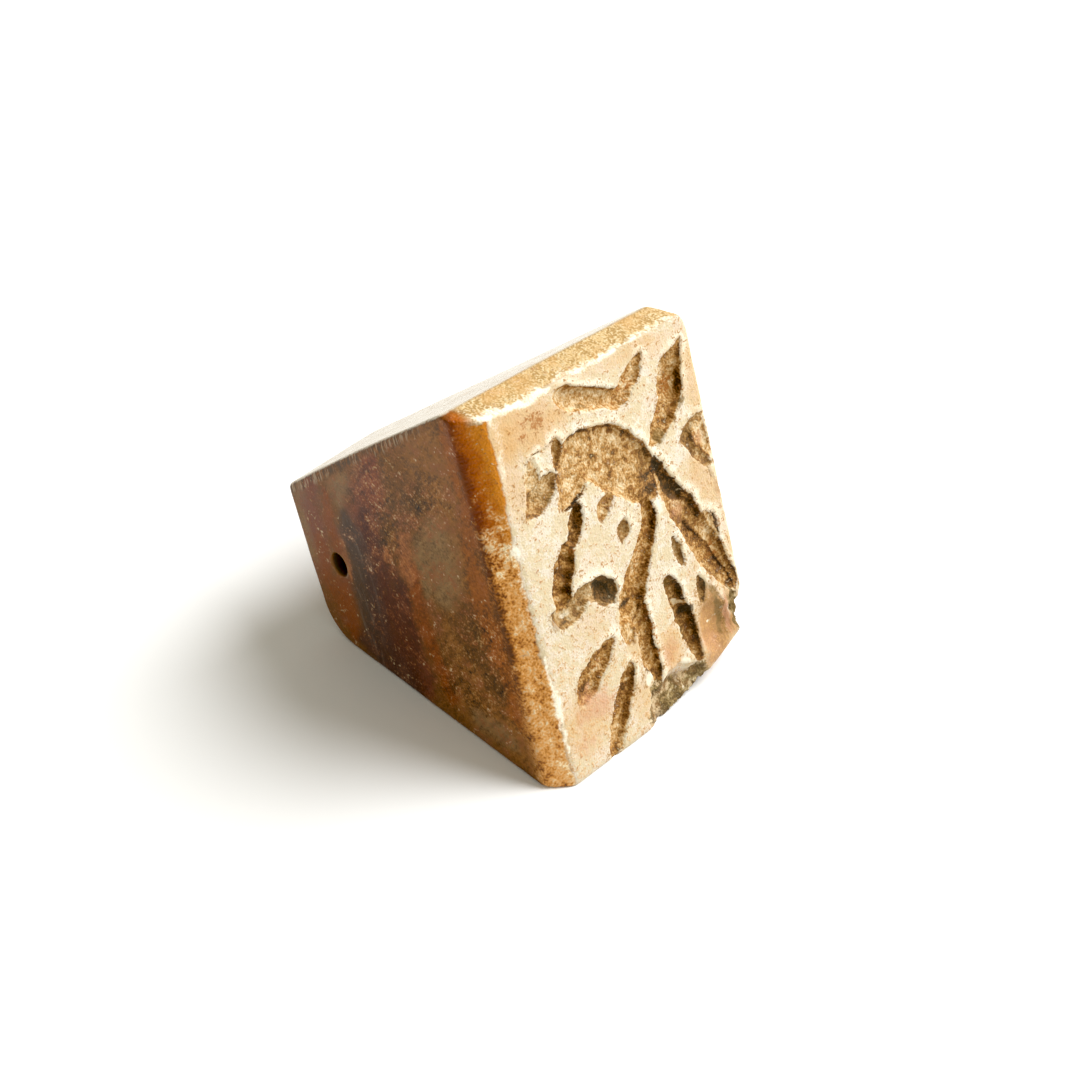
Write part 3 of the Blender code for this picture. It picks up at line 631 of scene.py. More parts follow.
def buildStone():
    g, radius = stoneMesh, block["backRadius"]
    s, t = spread(g["across"], g["crowding"][0]), spread(g["down"], g["crowding"][1])
    front, frontRay = endGrid(s, t, g["rim"], 0.0, g["border"], -1)
    back, backRay = endGrid(s[::4], t[::4], g["backRim"], block["depth"], g["backBorder"], 1)
    walk = borderWalk(len(s), len(t))
    coarse = walk[::4]
    roundY = block["depth"] - radius
    turns = np.linspace(math.radians(block["undersideSlope"]), math.asin((g["backRim"] - roundY) / radius),
                        g["roundRings"] + 1)
    roundDepths = roundY + radius * np.sin(turns)
    depths = np.concatenate([np.linspace(g["rim"], roundDepths[0], g["rings"] + 1), roundDepths[1:]])
    share = np.array([(s[i], t[j]) for i, j in coarse])
    rings, rays = [], []
    for depth in depths[1:-1]:
        corner = corners(depth)
        middle = corner.mean(0)
        away = spanned(corner, share[:, :1], share[:, 1:]) - middle
        away /= np.linalg.norm(away, axis=1)[:, None]
        rays.append(level(away, 0.0))
        rings.append(reachSurface(level(np.tile(middle, (len(away), 1)), depth), rays[-1], g["far"]))
    print("stone outline found")

    points = [front.reshape(-1, 3)] + rings + [back.reshape(-1, 3)]
    outward = [frontRay.reshape(-1, 3)] + rays + [backRay.reshape(-1, 3)]
    offsets = np.cumsum([0] + [len(p) for p in points])
    faces = gridFaces(len(s), len(t), 0, (0, 1, 2, 3))
    fine = [i * len(t) + j for i, j in walk]
    ring = [list(range(offsets[k + 1], offsets[k + 2])) for k in range(len(rings))]
    count = len(coarse)
    for k in range(count):  # 4 fine cells meet 1 coarse cell
        f = [fine[(4 * k + step) % len(fine)] for step in range(5)]
        c0, c1 = ring[0][k], ring[0][(k + 1) % count]
        faces += [(f[1], f[0], c0), (f[2], f[1], c0), (f[2], c0, c1), (f[3], f[2], c1), (f[4], f[3], c1)]
    backAcross, backDown = len(s[::4]), len(t[::4])
    ring.append([i * backDown + j + offsets[-2] for i, j in borderWalk(backAcross, backDown)])
    for a, b in zip(ring[:-1], ring[1:]):
        for k in range(count):
            j = (k + 1) % count
            faces.append((a[j], a[k], b[k], b[j]))
    faces += gridFaces(backAcross, backDown, offsets[-2], (0, 3, 2, 1))
    return np.vstack(points), np.vstack(outward), faces


def crag(uv, size, seed):
    # Broken-stone relief: tilted flat chips, 0 to 1.5
    best, tilt = np.full(len(uv), 9.0), np.zeros(len(uv))
    cell = np.floor(uv / size)
    for du, dv in itertools.product((-1, 0, 1), repeat=2):
        home = cell + (du, dv)
        flat = np.column_stack([home * 7.3 + seed, np.full(len(uv), seed * 3.1)])
        jitterU, jitterV, leanU, leanV, rise = [smoothNoise(flat, 1.0, seed + k) for k in range(5)]
        off = uv / size - (home + 0.5 + np.column_stack([jitterU, jitterV]) * 0.45)
        far = np.linalg.norm(off, axis=1)
        lean = leanU * off[:, 0] + leanV * off[:, 1]
        closer = far < best
        tilt = np.where(closer, lean * 1.2 + rise * 0.6, tilt)
        best = np.where(closer, far, best)
    return np.clip(0.5 + tilt, 0, 1.5)


# The small forms in mm: how deep hand grinding, grains, lumps and broken shards go
grinding = {
    "wave": (3.2, 0.035), "ripple": (1.1, 0.012),      # lump size and depth, all over the stone
    "coarse": (0.34, 0.55), "fine": (0.17, 0.45),      # grain size, and its share
    "grain": 0.009, "strokeGrain": 0.05, "bevelGrain": 0.03, "brokenGrain": 0.05,
    "lump": 0.62, "strokeLump": 0.05, "bevelLump": 0.02,
    "shards": (0.85, 0.55), "chips": (0.38, 0.28), "brokenDepth": 0.36,
    "strokeFull": 0.25,           # mm of depth where a stroke's floor is at its roughest
    "frontDeep": 0.5,             # mm behind the face where that roughness ends
    "bevelReach": (1.3, 1.2), "bevelDeep": 1.6,        # mm across, down and behind the face
    "bevelStart": 0.25,           # mm from the left side, which stays smooth
}


def wearStone(points, outward):
    # The small forms: strokes, broken and granular places, and the unevenness of hand grinding
    g = grinding
    depth = carve(points)[0]
    uv, d = onFace(points), points[:, 1]
    u, v = uv[:, 0], uv[:, 1]
    inStroke = np.clip(depth / g["strokeFull"], 0, 1)
    front = np.clip(1 - d / g["frontDeep"], 0, 1)
    broken = fractureShare(points)
    across, down = g["bevelReach"]
    bevel = np.clip(1 - np.minimum(u / across, v / down), 0, 1) * np.clip(g["bevelDeep"] - d, 0, 1)
    bevel *= u > g["bevelStart"]

    def lumps(name, seed):
        size, much = g[name]
        return smoothNoise(points, size, seed) * much

    grain = lumps("coarse", 7) + lumps("fine", 8)
    shards = (crag(uv * (1.0, 1.3), g["shards"][0], 21) * g["shards"][1]
              + crag(uv * (1.4, 1.0), g["chips"][0], 31) * g["chips"][1])
    lump = smoothNoise(points, g["lump"], 9)
    inward = lumps("wave", 1) + lumps("ripple", 2)
    inward += grain * (g["grain"] + g["strokeGrain"] * inStroke * front + g["bevelGrain"] * bevel
                       + g["brokenGrain"] * broken)
    inward += (lump * (g["strokeLump"] * inStroke * front + g["bevelLump"] * bevel)
               + shards * g["brokenDepth"] * broken)
    points = points - outward * inward[:, None]
    points[:, 1] += depth
    return points


# The string bore, drilled from both sides
bore = {
    "down": 10.65, "behind": 14.2,
    "halfTall": 0.68, "halfWide": 0.58,   # of the mouth, before its rim wears
    "waist": 0.8,                         # share of the mouth left where the two drillings meet
    "rimWear": 0.09, "rimReach": 0.3,
    "sides": 40,
}


def fixNormals(mesh):
    work = bmesh.new()
    work.from_mesh(mesh)
    bmesh.ops.recalc_face_normals(work, faces=work.faces)
    work.to_mesh(mesh)
    work.free()


def boreCutter(side):
    rows, n, reach = [], bore["sides"], bore["rimReach"]
    surface = faceW / 2 - math.tan(math.radians(block["sideTaper"])) * bore["behind"]
    stops = [-0.4, 1.5, 4.0, surface - reach, surface - reach * 0.5, surface - reach * 0.2, surface,
             surface + 0.5]
    for x in stops:
        share = bore["waist"] + (1 - bore["waist"]) * np.clip(x / surface, 0, 1)
        flare = np.clip((x - surface + reach) / reach, 0, 1.6) ** 2 * bore["rimWear"]
        for k in range(n):
            turn = 2 * math.pi * k / n
            y = (bore["halfWide"] * share + flare) * math.cos(turn)
            z = (bore["halfTall"] * share + flare) * math.sin(turn)
            rows.append((side * x, bore["behind"] + y, faceH - bore["down"] + z))
    faces = [[r * n + k, r * n + (k + 1) % n, (r + 1) * n + (k + 1) % n, (r + 1) * n + k]
             for r in range(len(stops) - 1) for k in range(n)]
    faces += [list(range(n)), list(range((len(stops) - 1) * n, len(stops) * n))]
    mesh = bpy.data.meshes.new("boreCutter")
    mesh.from_pydata([Vector(p) for p in toRow(np.array(rows)).tolist()], [], faces)
    fixNormals(mesh)
    return newObject("boreCutter", mesh)


def drillBore(stone):
    for side in (-1, 1):
        cutter = boreCutter(side)
        cut = stone.modifiers.new("bore", "BOOLEAN")
        cut.operation, cut.solver, cut.object = "DIFFERENCE", "EXACT", cutter
        bpy.context.view_layer.update()
        drilled = bpy.data.meshes.new_from_object(stone.evaluated_get(bpy.context.evaluated_depsgraph_get()))
        stone.modifiers.clear()
        stone.data = drilled
        bpy.data.objects.remove(cutter)
    for face in stone.data.polygons:
        face.use_smooth = True


points, outward, faces = buildStone()
mesh = bpy.data.meshes.new("sealStone")
mesh.from_pydata(toRow(wearStone(points, outward)).tolist(), [], faces)
fixNormals(mesh)
sealStone = newObject("sealStoneCarved", mesh)
print("stone mesh", len(mesh.vertices), "points")
drillBore(sealStone)
print("bore drilled", len(sealStone.data.vertices), "points")

# What the surface is made of, place by place, with painted highlight and shade among the chalk and soot
# spots.
# Soft spots: across, down, half width, half height, tilt in degrees (to the lower right) and strength
spots = {
    "warm": ((3.5, 2.5, 3.2, 1.7, 10, 0.9), (2.3, 5.0, 1.0, 2.8, 0, 0.5), (9.5, 1.6, 5.0, 0.6, 0, 0.35),
        (13.0, 2.0, 3.0, 0.9, 0, 0.4), (15.9, 5.0, 0.9, 3.2, 0, 0.6), (15.4, 10.5, 1.3, 3.4, 0, 0.6),
        (14.2, 9.6, 0.9, 1.2, 30, 0.4), (4.6, 14.3, 1.8, 1.2, 0, 0.35), (3.0, 19.0, 2.4, 2.2, 0, 0.7),
        (7.2, 19.9, 1.0, 1.5, 0, 0.5), (10.1, 18.2, 1.1, 1.5, 0, 0.85), (13.9, 18.3, 2.2, 2.8, 0, 0.9),
        (12.9, 14.8, 0.6, 1.0, 30, 0.3), (7.5, 16.4, 0.7, 1.4, 0, 0.5), (15.9, 15.0, 0.5, 1.4, 20, 0.6),
        (10.8, 10.4, 0.5, 0.5, 0, 0.4), (6.5, 3.0, 1.2, 0.5, 20, 0.4)),
    "grime": ((4.6, 2.6, 0.8, 0.8, 0, 1.3), (2.5, 12.8, 0.5, 0.9, 0, 0.8), (3.0, 17.2, 0.5, 0.9, 0, 0.6),
        (7.3, 16.0, 0.5, 1.2, 0, 0.8), (7.4, 19.3, 0.8, 1.1, 0, 0.8), (9.3, 9.7, 0.4, 0.8, 0, 0.6),
        (13.6, 18.3, 1.3, 1.8, 0, 0.5), (2.2, 6.3, 0.5, 1.4, 0, 0.5), (12.6, 17.2, 0.3, 0.6, 0, 0.6),
        (4.4, 14.4, 1.4, 0.7, 0, 0.4), (11.1, 13.4, 0.7, 0.7, 0, 0.4)),
    "tawny": ((13.6, 18.7, 1.6, 2.3, 0, 1.0), (15.2, 18.6, 0.6, 1.6, 0, 1.0),
        (13.0, 20.4, 1.3, 0.5, -18, 0.7), (15.5, 16.0, 0.5, 0.8, 20, 0.4), (14.0, 16.6, 0.6, 0.9, -20, 0.5),
        (16.1, 11.3, 0.4, 0.7, 0, 0.6), (10.0, 18.2, 0.6, 0.8, 0, 0.3)),
    "rust": ((4.4, 2.4, 1.1, 0.6, 10, 0.8), (3.55, 3.1, 0.4, 0.35, 0, 0.6), (4.75, 2.8, 0.45, 0.5, 0, 0.5),
        (11.2, 3.3, 0.8, 0.45, -30, 0.5), (14.4, 4.6, 0.6, 0.6, 0, 0.95), (13.3, 5.8, 0.35, 0.3, -40, 0.6),
        (4.7, 9.9, 0.4, 0.35, -60, 0.5), (2.3, 9.75, 0.25, 0.25, 0, 0.6), (5.0, 16.6, 0.8, 0.3, -35, 0.45),
        (9.4, 12.5, 1.4, 0.35, -48, 0.4), (6.4, 0.7, 0.35, 0.15, 40, 0.6), (15.1, 14.6, 0.5, 0.7, 30, 0.5),
        (7.3, 2.2, 0.6, 0.4, 0, 0.2), (9.05, 16.8, 0.2, 1.8, 0, 0.5), (12.1, 18.2, 0.2, 0.9, 0, 0.4)),
    "rose": ((3.9, 18.5, 1.9, 1.1, 0, 0.7), (2.6, 20.3, 0.9, 0.8, 0, 0.5), (14.8, 18.5, 0.15, 1.5, 4, 1.4),
        (14.2, 3.75, 0.3, 0.25, 0, 0.5), (15.7, 8.0, 0.6, 0.8, -20, 0.5), (12.9, 11.2, 0.7, 1.1, -20, 0.55),
        (4.0, 17.4, 0.22, 0.18, 0, 0.6), (9.9, 18.3, 0.8, 1.0, 0, 0.45), (13.2, 19.4, 0.9, 1.1, 0, 0.45),
        (11.9, 10.0, 0.5, 0.3, 0, 0.4), (15.8, 13.2, 0.5, 1.0, 0, 0.35), (14.7, 13.1, 0.4, 0.5, 0, 0.4)),
    "olive": ((14.0, 16.7, 0.35, 0.8, -20, 0.7), (14.35, 17.9, 0.26, 0.9, -10, 0.9),
        (14.3, 19.0, 0.2, 0.8, 12, 0.9), (3.6, 6.2, 0.6, 0.6, 0, 0.3), (15.4, 18.7, 0.3, 1.3, 0, 1.2),
        (15.1, 17.6, 0.3, 0.3, 0, 0.6), (16.3, 11.3, 0.3, 0.6, 0, 0.6), (14.85, 5.75, 0.4, 0.26, -20, 0.9),
        (12.7, 6.8, 0.6, 0.35, -35, 0.8), (14.6, 7.4, 0.5, 0.4, 0, 0.5), (8.0, 3.2, 0.7, 0.12, 28, 0.5),
        (10.6, 4.15, 0.45, 0.12, -15, 0.5), (4.3, 6.65, 0.6, 0.1, -30, 0.7),
        (11.15, 14.8, 0.45, 0.4, 0, 0.7), (11.5, 18.1, 0.22, 1.0, -3, 0.6), (15.7, 19.6, 0.35, 0.4, 0, 0.6),
        (9.6, 20.9, 0.9, 0.4, -8, 0.6), (13.2, 16.3, 0.25, 0.5, 0, 0.5)),
    # soot: dark spots in and beside the strokes; the long one low on the fore leg is painted shade
    "sootAndShade": ((13.1, 9.95, 0.45, 0.4, 50, 0.6), (12.2, 8.0, 0.14, 0.4, -20, 0.4),
        (12.0, 16.8, 0.45, 0.35, 10, 0.8), (11.4, 15.5, 0.3, 0.25, 0, 0.4), (6.75, 12.7, 0.4, 0.3, 0, 0.45),
        (6.6, 13.3, 0.3, 0.3, 0, 0.4), (8.05, 18.45, 0.28, 0.2, 0, 0.7), (7.8, 14.5, 0.75, 0.28, -15, 0.75),
        (9.0, 20.3, 0.6, 0.3, -20, 0.6), (10.2, 20.3, 0.4, 0.25, 10, 0.6), (12.0, 20.3, 0.45, 0.3, 10, 0.6),
        (15.6, 17.2, 0.3, 0.3, -20, 0.4), (15.3, 19.9, 0.4, 0.12, -20, 0.5)),
    # chalk: pale chips and worn spots, with painted highlights on chip faces and in the broken place
    "chalkAndHighlight": ((7.9, 19.05, 0.32, 0.45, 10, 1.6), (10.9, 19.5, 0.5, 0.26, 25, 1.3),
        (9.3, 19.5, 0.36, 0.2, 0, 1.0), (9.9, 15.4, 0.7, 1.6, 8, 0.45), (12.2, 15.4, 0.35, 0.9, 15, 0.4),
        (11.2, 21.0, 0.9, 0.13, -6, 0.8), (13.55, 18.35, 0.11, 0.11, 0, 0.9),
        (11.5, 16.1, 0.35, 0.1, 12, 0.6), (3.5, 12.95, 0.6, 0.2, 0, 0.8), (4.45, 5.0, 0.22, 0.5, 20, 0.3),
        (11.4, 10.3, 0.4, 0.6, -20, 0.7), (12.6, 17.7, 0.07, 0.07, 0, 0.8), (8.6, 1.75, 0.3, 0.15, 0, 0.5),
        (8.2, 20.9, 0.3, 0.2, 0, 0.4), (9.9, 20.0, 0.2, 0.14, 0, 0.5)),
}

# The bands of the stone, as soft strips seen on a side: strength, then one or more lines of (behind the face,
# down, half width). rough and smooth are places where the side is more or less speckled.
bands = {
    "tan": (0.8, ((2.6, 2.2, 1.1), (3.2, 4.6, 1.0), (3.5, 7.4, 0.9), (3.4, 9.6, 0.8), (2.8, 11.0, 0.3)),
        ((4.2, 2.6, 0.6), (4.8, 3.4, 0.6)), ((1.6, 19.4, 1.0), (4.6, 18.6, 1.2), (6.0, 18.0, 0.8)),
        ((5.0, 17.2, 0.4), (5.6, 16.8, 0.4)), ((3.6, 15.0, 0.3), (4.6, 15.4, 0.5), (5.4, 13.4, 0.4))),
    "ash": (1.0, ((4.2, 7.4, 0.8), (4.6, 9.0, 1.2), (5.2, 10.8, 0.8)), ((6.0, 8.2, 0.5), (6.5, 9.6, 0.6),
        (6.6, 11.0, 0.4)), ((11.4, 5.2, 0.5), (12.0, 5.8, 0.6), (12.5, 6.4, 0.4)), ((3.0, 19.2, 0.5),
        (5.0, 18.4, 0.6)), ((15.8, 6.6, 0.7), (16.2, 8.4, 0.7), (16.4, 10.2, 0.4))),
    "umber": (0.9, ((3.2, 12.0, 0.8), (3.5, 13.4, 1.2), (2.9, 14.8, 0.7), (2.5, 15.8, 0.5)),
        ((4.8, 5.0, 0.4), (5.3, 5.7, 0.6), (6.4, 6.6, 0.4)), ((2.6, 11.0, 0.6), (2.4, 12.6, 0.5)),
        ((6.8, 16.4, 0.3), (6.8, 17.2, 0.3)), ((7.2, 6.2, 0.4), (7.6, 7.2, 0.5))),
    "amber": (1.0, ((7.7, 10.2, 0.45), (7.8, 11.3, 0.5), (7.7, 12.6, 0.5), (7.6, 14.0, 0.5),
        (7.4, 15.6, 0.45), (7.2, 17.6, 0.4)), ((13.5, 6.2, 0.2), (13.7, 7.6, 0.3), (14.0, 9.0, 0.45),
        (13.9, 10.4, 0.4)), ((14.1, 11.6, 0.5), (14.7, 12.6, 0.85), (14.8, 13.6, 0.8), (14.9, 14.8, 0.5)),
        ((15.4, 9.4, 0.4), (15.7, 11.0, 0.5), (15.7, 12.4, 0.4))),
    "russet": (0.85, ((1.3, 1.5, 0.3), (1.5, 6.0, 0.4), (1.8, 8.0, 0.5), (2.1, 10.5, 0.7), (2.0, 12.6, 0.7),
        (1.8, 15.0, 0.5), (1.6, 17.6, 0.4))),
    "peach": (0.9, ((7.5, 7.8, 0.3), (7.7, 8.6, 0.5), (7.9, 9.8, 0.45), (8.1, 10.7, 0.25)),
        ((13.5, 9.3, 0.2), (13.4, 10.3, 0.2), (13.5, 11.1, 0.1)), ((9.3, 8.6, 0.2), (9.4, 9.4, 0.2))),
    "mauve": (0.85, ((8.2, 3.6, 0.4), (9.0, 4.8, 0.8), (9.6, 6.0, 1.0), (10.8, 7.2, 1.1), (11.3, 8.8, 0.6)),
        ((14.6, 6.2, 0.6), (15.4, 7.6, 0.8), (15.4, 9.2, 0.6)), ((8.8, 16.0, 0.4), (9.0, 17.2, 0.5))),
    "maroon": (1.0, ((10.4, 7.4, 0.5), (10.6, 8.6, 0.95), (10.4, 10.6, 1.15), (10.3, 12.8, 1.3),
        (10.3, 15.0, 1.4), (10.6, 17.2, 1.2)), ((9.0, 11.0, 0.5), (9.0, 13.0, 0.6), (9.2, 15.0, 0.6))),
    "slate": (0.95, ((12.4, 7.4, 0.4), (12.2, 9.0, 0.85), (12.3, 10.8, 1.0), (12.4, 12.6, 0.95),
        (12.7, 14.4, 0.75), (12.9, 16.0, 0.5))),
    "dusk": (0.85, ((10.6, 17.6, 0.5), (11.5, 16.8, 1.1), (12.7, 16.0, 1.1), (13.8, 15.6, 0.7)),
        ((11.3, 10.8, 0.4), (11.6, 13.0, 0.6), (11.6, 15.2, 0.6))),
    "rough": (1.0, ((2.6, 13.0, 1.2), (4.0, 15.4, 1.8), (5.6, 16.2, 1.4)), ((8.8, 5.6, 1.2),
        (9.0, 8.0, 0.8)), ((3.6, 5.2, 0.8), (5.8, 6.2, 0.8))),
    "smooth": (1.0, ((13.0, 7.4, 1.2), (14.6, 9.0, 2.4), (14.8, 13.0, 2.4), (12.4, 16.0, 1.4)),
        ((16.4, 6.6, 1.2), (16.6, 12.0, 1.6)), ((11.0, 10.6, 1.0), (11.0, 15.0, 1.4))),
}


def lineShare(uv, lines, reach):
    # 1 along some lines, falling softly to 0 at reach times their half width
    share = np.zeros(len(uv))
    for line in lines:
        share = np.maximum(share, smoothStep(reach - nearStroke(uv, strokeLine(line))[0], 0, reach - 0.3))
    return share


burnishHighlightDeep = 1.2                # mm behind the face


def burnishHighlightShare(points):
    # 1 along the bright places of the face's edges: burnished wear with painted highlight
    uv = wobble(onFace(points), "burnishHighlight")
    share = np.zeros(len(uv))
    near = np.flatnonzero(points[:, 1] < burnishHighlightDeep)
    for strength, path in burnishHighlight.values():
        share[near] = np.maximum(share[near], strength * lineShare(uv[near], [path], 2.3))
    return share


# Where the coats begin and end, in mm
coats = {
    "leftPast": 0.2,                     # the left bevel's amber runs this far past it on to the face
    "leftDrawn": (0.24, 5.0, 8.0),       # and is drawn in by so much, from one height to the other
    "leftBack": (0.75, 1.5),             # it fades out this far behind the face
    "leftBackLow": (0.3, 13, 16),        # and further back low down
    "leftDeep": 2, "leftSoft": 0.12,     # it ends here in any case, and its border is so soft
    "topStart": (0.5, 1.3),              # from the left, where the top bevel's sand begins
    "topPast": 0.1, "topDeep": 2.2,      # how far it runs on to the face, and back
    "topFace": (0.0, 0.1), "topSlope": (-0.02, 0.1),     # its borders to the face and to the upper slope
    "crust": (0.3, 0.9),                 # the pale skin of the face ends this far behind it
    "spotDeep": 3.0,
    "bandLean": 0.12,                    # the bands lean a little on their way through the stone
    "boreRimHighlight": (0.6, 1.1),             # from the bore's middle, the painted highlight on the worn rim round its mouth
    "boreInside": (0.02, 0.14), "boreWithin": 0.9,       # past the side and round the middle: its inside
}

# The mesh's fields for the material, each with what its three numbers hold
fields = {
    "placeField": ("across", "down", "behind"),
    "strokeField": ("depth", "tone", "grey"),
    "skinField": ("leftBevel", "topBevel", "crust"),
    "edgeField": ("edge", "burnishedHighlight", "broken"),
    "stainField": ("rust", "rose", "olive"),
    "spotField": ("sootAndShade", "chalkAndHighlight", "warm"),
    "dirtField": ("tawny", "dirty", "fromTop"),
    "boreField": ("inBore", "boreRim", "pale"),
    "paleBands": ("tan", "ash", "peach"),
    "warmBands": ("umber", "amber", "mauve"),
    "darkBands": ("maroon", "slate", "dusk"),
    "polishField": ("rough", "smooth", "russet"),
}


def paintStone(mesh):
    co = np.zeros(len(mesh.vertices) * 3)
    mesh.vertices.foreach_get("co", co)
    p = fromRow(co.reshape(-1, 3))
    uv, d = onFace(p), p[:, 1]
    u, v = uv[:, 0], uv[:, 1]
    depth, tone, grey, edge, dirty, pale = carve(p)
    plain = d - depth  # mm of the uncut surface behind the face
    half = faceW / 2 - d * math.tan(math.radians(block["sideTaper"]))
    ragged = wobble(uv, "coats")
    drawn, drawnFrom, drawnTo = coats["leftDrawn"]
    further, furtherFrom, furtherTo = coats["leftBackLow"]
    backFrom, backTo = coats["leftBack"]
    leftBorder = block["leftBevel"][0] + coats["leftPast"] - drawn * smoothStep(v, drawnFrom, drawnTo)
    backTo = backTo + further * smoothStep(v, furtherFrom, furtherTo)
    leftBevel = smoothStep(leftBorder - ragged[:, 0], 0, coats["leftSoft"]) * (d < coats["leftDeep"])
    leftBevel *= 1 - smoothStep(plain + ragged[:, 0] - u, backFrom, backTo)
    fromTop = arcRadius - slopeFall(p[:, 0], d) - np.hypot(d - arcY, p[:, 2] - arcZ)
    topBevel = smoothStep(plain, *coats["topFace"]) * smoothStep(fromTop, *coats["topSlope"])
    topBevel *= (ragged[:, 1] < block["topBevel"][0] + coats["topPast"]) & (d < coats["topDeep"])
    topBevel *= smoothStep(ragged[:, 0], *coats["topStart"])
    leftBevel *= 1 - topBevel
    crust = (1 - smoothStep(plain, *coats["crust"])) * (1 - leftBevel) * (1 - topBevel)
    near = d < coats["spotDeep"]
    spot = {name: np.clip(blot(ragged, places), 0, 1) * near for name, places in spots.items()}
    beside = wobble(np.column_stack([d + coats["bandLean"] * (p[:, 0] + half), v]), "bands")
    band = {name: strength * lineShare(beside, lines, 2.1) for name, (strength, *lines) in bands.items()}
    radius = np.hypot(d - bore["behind"], v - bore["down"])
    inBore = smoothStep(half - np.abs(p[:, 0]), *coats["boreInside"]) * (radius < coats["boreWithin"])
    around = (1 - smoothStep(radius, *coats["boreRimHighlight"])) * (1 - inBore)
    found = {
        "across": u, "down": v, "behind": d, "depth": depth, "tone": tone, "grey": grey, "edge": edge,
        "leftBevel": leftBevel, "topBevel": topBevel, "crust": crust, "fromTop": fromTop, "pale": pale,
        "burnishedHighlight": burnishHighlightShare(p), "broken": fractureShare(p), "dirty": dirty + spot["grime"],
        "inBore": inBore, "boreRim": around, **spot, **band,
    }
    for name, kinds in fields.items():
        values = np.column_stack([found[kind] for kind in kinds]).astype(np.float32)
        mesh.attributes.new(name, "FLOAT_VECTOR", "POINT").data.foreach_set("vector", values.ravel())


paintStone(sealStone.data)
print("stone painted")

# Banded jasper, ground and worn: a hard opaque quartz stone. Its sides keep a soft hand polish over
# clouded bands of tan, maroon and grey, while the cut face has a paler, dry and granular skin.
jasper = {
    "ior": 1.54, "specular": 0.22,
    "polish": 0.42, "slopePolish": -0.14, "dryFace": 0.58, "dryStroke": 0.85,        # roughness
    # bands
    "stone": "#784d1c", "tan": "#91602a", "ash": "#8a6b44", "peach": "#9c6035", "umber": "#623f11",
    "amber": "#85440c", "mauve": "#79402c", "maroon": "#4f2417", "slate": "#44362d", "slatePale": "#75665a",
    "dusk": "#4a3028", "russet": "#93510f",
    # skin of the face and of the upper slope; the slope's pale colours are partly a painted reflection, the
    # burnished and chalk colours partly painted highlight
    "cream": "#dad1c0", "creamShade": "#cdbc9a", "speck": "#8e6c38", "warm": "#c79b60", "tawny": "#a47747",
    "burnishedHighlight": "#f8efd9", "chalkAndHighlight": "#e6dcc4", "slope": "#d3c8b4", "slopeShade": "#c4b197",
    # bevels
    "amberDark": "#6e3000", "amberClear": "#9e5200", "amberPale": "#c47e20",
    "sand": "#cbae7c", "sandPale": "#dac79f", "sandDark": "#a98752",
    # grains of the left bevel, dark to pale
    "sandy": ((0.0, "#5f3408"), (0.22, "#945a1e"), (0.42, "#c2843c"), (0.58, "#d79b56"), (0.76, "#ddaf76"),
              (1.0, "#fae3b6")),
    # floor of a stroke by how dark it is
    "floors": ((0.0, "#e0c9a2"), (0.25, "#c8a472"), (0.45, "#a97c42"), (0.65, "#7f562a"), (0.85, "#53371a"),
               (1.0, "#2f2113")),
    "floorGrey": "#776b50",
    # stains, broken stone and the bore; the soot colour also stands for painted shade, the bore's rim colour
    # for a painted highlight
    "rust": "#9b622b", "rose": "#c28f6c", "olive": "#7a6338", "sootAndShade": "#453826",
    "fracture": "#998255", "fracturePale": "#cfbd98", "fractureDark": "#6b552f",
    "boreDark": "#50443a", "boreRim": "#8a6238",
    # mm: how wide the lumps of each noise are. Dust is finer in the stone, and drawn as coarse as shows.
    "cloud": 5.0, "patch": 1.5, "mottle": 0.55, "grit": 0.24, "dust": 0.12,
    "grain": 0.26, "crook": 0.3,                   # mm across the single grains, and the bends in them
    "fleck": 0.3,                                  # mm between pale flecks on the sides
    "bubble": 0.62,                                # mm between the broken bubbles in the left bevel
    # mm: from where to where one look gives way to another, down the stone, behind the face or across it
    "amberToSand": (5.2, 9.2), "bubblesFrom": (6.2, 7.2), "bubblesTo": (9.4, 8.4), "clearTop": (11.0, 7.0),
    "dustyLow": (13.0, 17.0), "outerEdge": (0.45, -0.05), "outerFades": (22.0, 13.0), "innerEdge": (0.7, 1.2),
    "filed": (2.0, 6.0), "slopeStart": (0.9, 1.4),
    # mm of grit on the smooth sides, and how much more there is where they are rough and on the rest
    "sideGrit": 0.008, "roughGrit": 0.012, "bevelGrit": 0.04, "faceGrit": 0.024, "strokeGrit": 0.05,
    "brokenGrit": 0.06,
}

# Stains and marks, with painted highlights and shade among them, in the order that they lie on the stone:
# where their soft borders begin and end, how strong they are, and how much each noise stirs them
marks = {
    "rust": (0.3, 1.05, 0.8, {"grit": 1.9, "grain": 0.7, "dust": 0.6}),
    "rose": (0.1, 1.1, 0.8, {"patch": 0.9, "mottle": 0.8, "grit": 0.5}),
    "olive": (0.15, 1.0, 0.8, {"mottle": 0.6, "grit": 0.5, "grain": 0.3}),
    "sootAndShade": (0.25, 1.0, 0.9, {"grit": 0.9, "grain": 0.3}),
    "chalkAndHighlight": (0.3, 0.9, 0.9, {"mottle": 0.6, "grit": 0.5, "grain": 0.3}),
    "burnishedHighlight": (0.25, 1.15, 0.95, {"patch": 0.9, "mottle": 0.9, "grit": 0.6, "dust": 0.4}),
    "boreRim": (0.3, 1.0, 0.8, {"mottle": 0.8, "grit": 0.6}),
}

